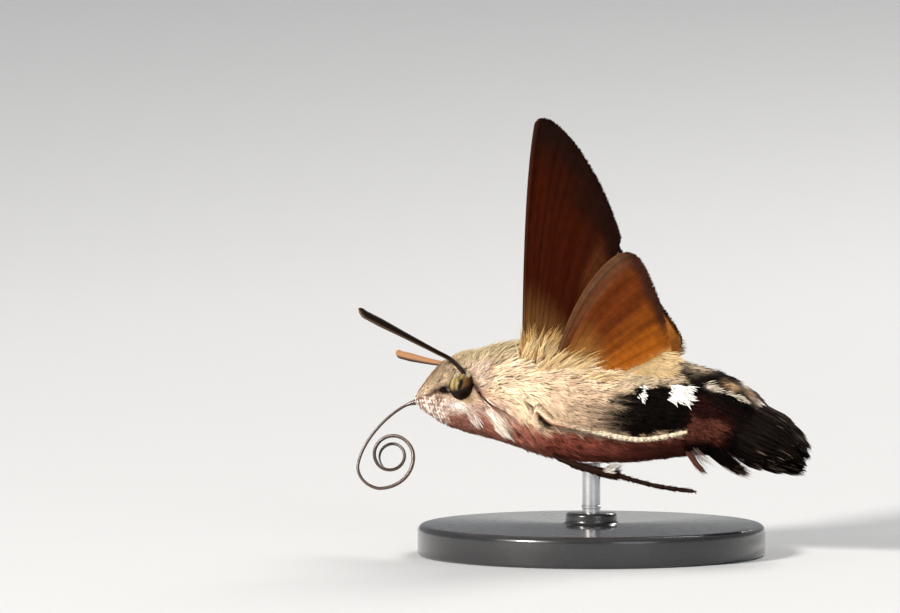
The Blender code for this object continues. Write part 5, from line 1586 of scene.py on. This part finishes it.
def make_stand():
    low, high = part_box("stand_base")
    radius = (high.x - low.x) / 2
    collar_top = high.z
    top = collar_top - 0.9 * MM
    edge = 0.5 * MM
    rod_low, rod_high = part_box("stand_rod")
    rod = (rod_high.y - rod_low.y) / 2
    profile = [(1e-6, 0.0), (radius - edge, 0.0)]
    profile += [(radius - 0.25 * MM + 0.25 * MM * math.sin(a), 0.25 * MM - 0.25 * MM * math.cos(a))
                for a in np.linspace(0, math.pi / 2, 6)]
    profile += [(radius - edge + edge * math.cos(a), top - edge + edge * math.sin(a))
                for a in np.linspace(0, math.pi / 2, 10)]
    profile += [(2.35 * MM - 0.35 * MM * math.sin(a), top + 0.35 * MM - 0.35 * MM * math.cos(a))
                for a in np.linspace(0, math.pi / 2, 7)]
    profile += [(1.7 * MM + 0.3 * MM * math.cos(a), collar_top - 0.3 * MM + 0.3 * MM * math.sin(a))
                for a in np.linspace(0, math.pi / 2, 7)]
    profile += [(rod + 0.02 * MM, collar_top), (rod + 0.02 * MM, collar_top - 1.2 * MM),
                (1e-6, collar_top - 1.2 * MM)]
    turned("display_base", profile, 144, acrylic_material(), "stand_base")
    ring = 0.06 * MM
    column = [(1e-6, collar_top - 1.3 * MM), (rod, collar_top - 1.3 * MM),
              (rod, collar_top + 0.3 * MM), (rod + ring, collar_top + 0.34 * MM),
              (rod + ring, collar_top + 0.5 * MM), (rod, collar_top + 0.54 * MM),
              (rod, rod_high.z - 0.1 * MM), (1e-6, rod_high.z - 0.1 * MM)]
    turned("display_rod", column, 64, steel_material(), "stand_rod")


# Stage, light and camera

def pale_material(name, colour, roughness):
    made = bpy.data.materials.new(name)
    made.use_nodes = True
    nodes, links = made.node_tree.nodes, made.node_tree.links
    shader = nodes["Principled BSDF"]
    shader.inputs["Roughness"].default_value = roughness
    noise = nodes.new("ShaderNodeTexNoise")
    noise.inputs["Scale"].default_value = 60.0
    place = nodes.new("ShaderNodeTexCoord")
    tint = nodes.new("ShaderNodeValToRGB")
    tint.color_ramp.elements[0].color = (*[0.985 * c for c in colour], 1)
    tint.color_ramp.elements[1].color = (*colour, 1)
    links.new(place.outputs["Object"], noise.inputs["Vector"])
    links.new(noise.outputs["Fac"], tint.inputs["Fac"])
    links.new(tint.outputs["Color"], shader.inputs["Base Color"])
    return made


def make_stage():
    """Pale floor that curves up into a round backdrop, so every view has a plain ground."""
    angle = np.linspace(0, math.tau, 96, endpoint=False)
    bend = [(0.45 + 2.3 * math.sin(a), 2.3 - 2.3 * math.cos(a))
            for a in np.linspace(0, math.pi / 2, 48)]
    profile = np.array([(1e-4, 0.0), (0.25, 0.0)] + bend)
    ring = np.stack([np.cos(angle), np.sin(angle)], -1)
    points = np.concatenate([profile[:, None, :1] * ring[None], np.repeat(
        profile[:, None, 1:], len(angle), axis=1)], axis=-1).reshape(-1, 3)
    mesh = bpy.data.meshes.new("floor")
    mesh.from_pydata(points.tolist(), [], grid_faces(len(profile), len(angle), True).tolist())
    mesh.shade_smooth()
    floor = bpy.data.objects.new("floor", mesh)
    bpy.context.scene.collection.objects.link(floor)
    mesh.materials.append(pale_material("floor_pale", (0.61, 0.625, 0.645), 0.7))


def area_light(name, place, target, size, watts, colour):
    data = bpy.data.lights.new(name, "AREA")
    data.shape = "DISK"
    data.size = size
    data.energy = watts
    data.color = colour
    lamp = bpy.data.objects.new(name, data)
    lamp.location = place
    lamp.rotation_euler = (Vector(target) - Vector(place)).to_track_quat("-Z", "Y").to_euler()
    bpy.context.scene.collection.objects.link(lamp)


def make_light():
    middle = (0.0, 0.0, 0.015)
    area_light("key", (-0.44, -0.60, 0.42), middle, 0.18, 10.5, (1.0, 0.94, 0.86))
    area_light("fill", (0.55, -0.65, 0.30), middle, 0.5, 1.2, (0.96, 0.97, 1.0))
    area_light("rim", (0.2, 0.6, 0.55), middle, 0.4, 4.5, (1.0, 0.95, 0.88))
    world = bpy.data.worlds.new("studio")
    bpy.context.scene.world = world
    world.use_nodes = True
    ground = world.node_tree.nodes["Background"]
    ground.inputs["Color"].default_value = (0.97, 0.98, 1.0, 1)
    ground.inputs["Strength"].default_value = 0.42


def make_camera():
    azimuth, elevation = math.radians(CAMERA_AZIMUTH), math.radians(CAMERA_ELEVATION)
    back = Vector((math.sin(azimuth) * math.cos(elevation),
                   -math.cos(azimuth) * math.cos(elevation), math.sin(elevation)))
    right = Vector((math.cos(azimuth), math.sin(azimuth), 0.0))
    up = back.cross(right)
    pixel = PIXEL_MM * MM
    centre = (Vector(moth_origin) - right * (SNOUT_FROM_CENTRE[0] * pixel)
              - up * (SNOUT_FROM_CENTRE[1] * pixel))
    data = bpy.data.cameras.new("camera")
    data.sensor_width = SENSOR_MM
    data.lens = SENSOR_MM * CAMERA_DISTANCE / (IMAGE_WIDTH * pixel)
    data.clip_start = 0.01
    camera = bpy.data.objects.new("camera", data)
    camera.location = centre + back * CAMERA_DISTANCE
    camera.rotation_euler = back.to_track_quat("Z", "Y").to_euler()
    bpy.context.scene.collection.objects.link(camera)
    bpy.context.scene.camera = camera


make_camera()
make_skin()
make_coat()
make_tail_fan()
make_wing_base_hair()
for wing_kind in ("forewing", "hindwing"):
    for wing_side, wing_word in ((-1, "left"), (1, "right")):
        make_wing(wing_kind, wing_side, wing_word)
make_eyes()
hair_round_eyes()
make_antennae()
make_proboscis()
make_legs()
make_stand()
make_stage()
make_light()
bpy.context.scene.view_settings.view_transform = "Standard"
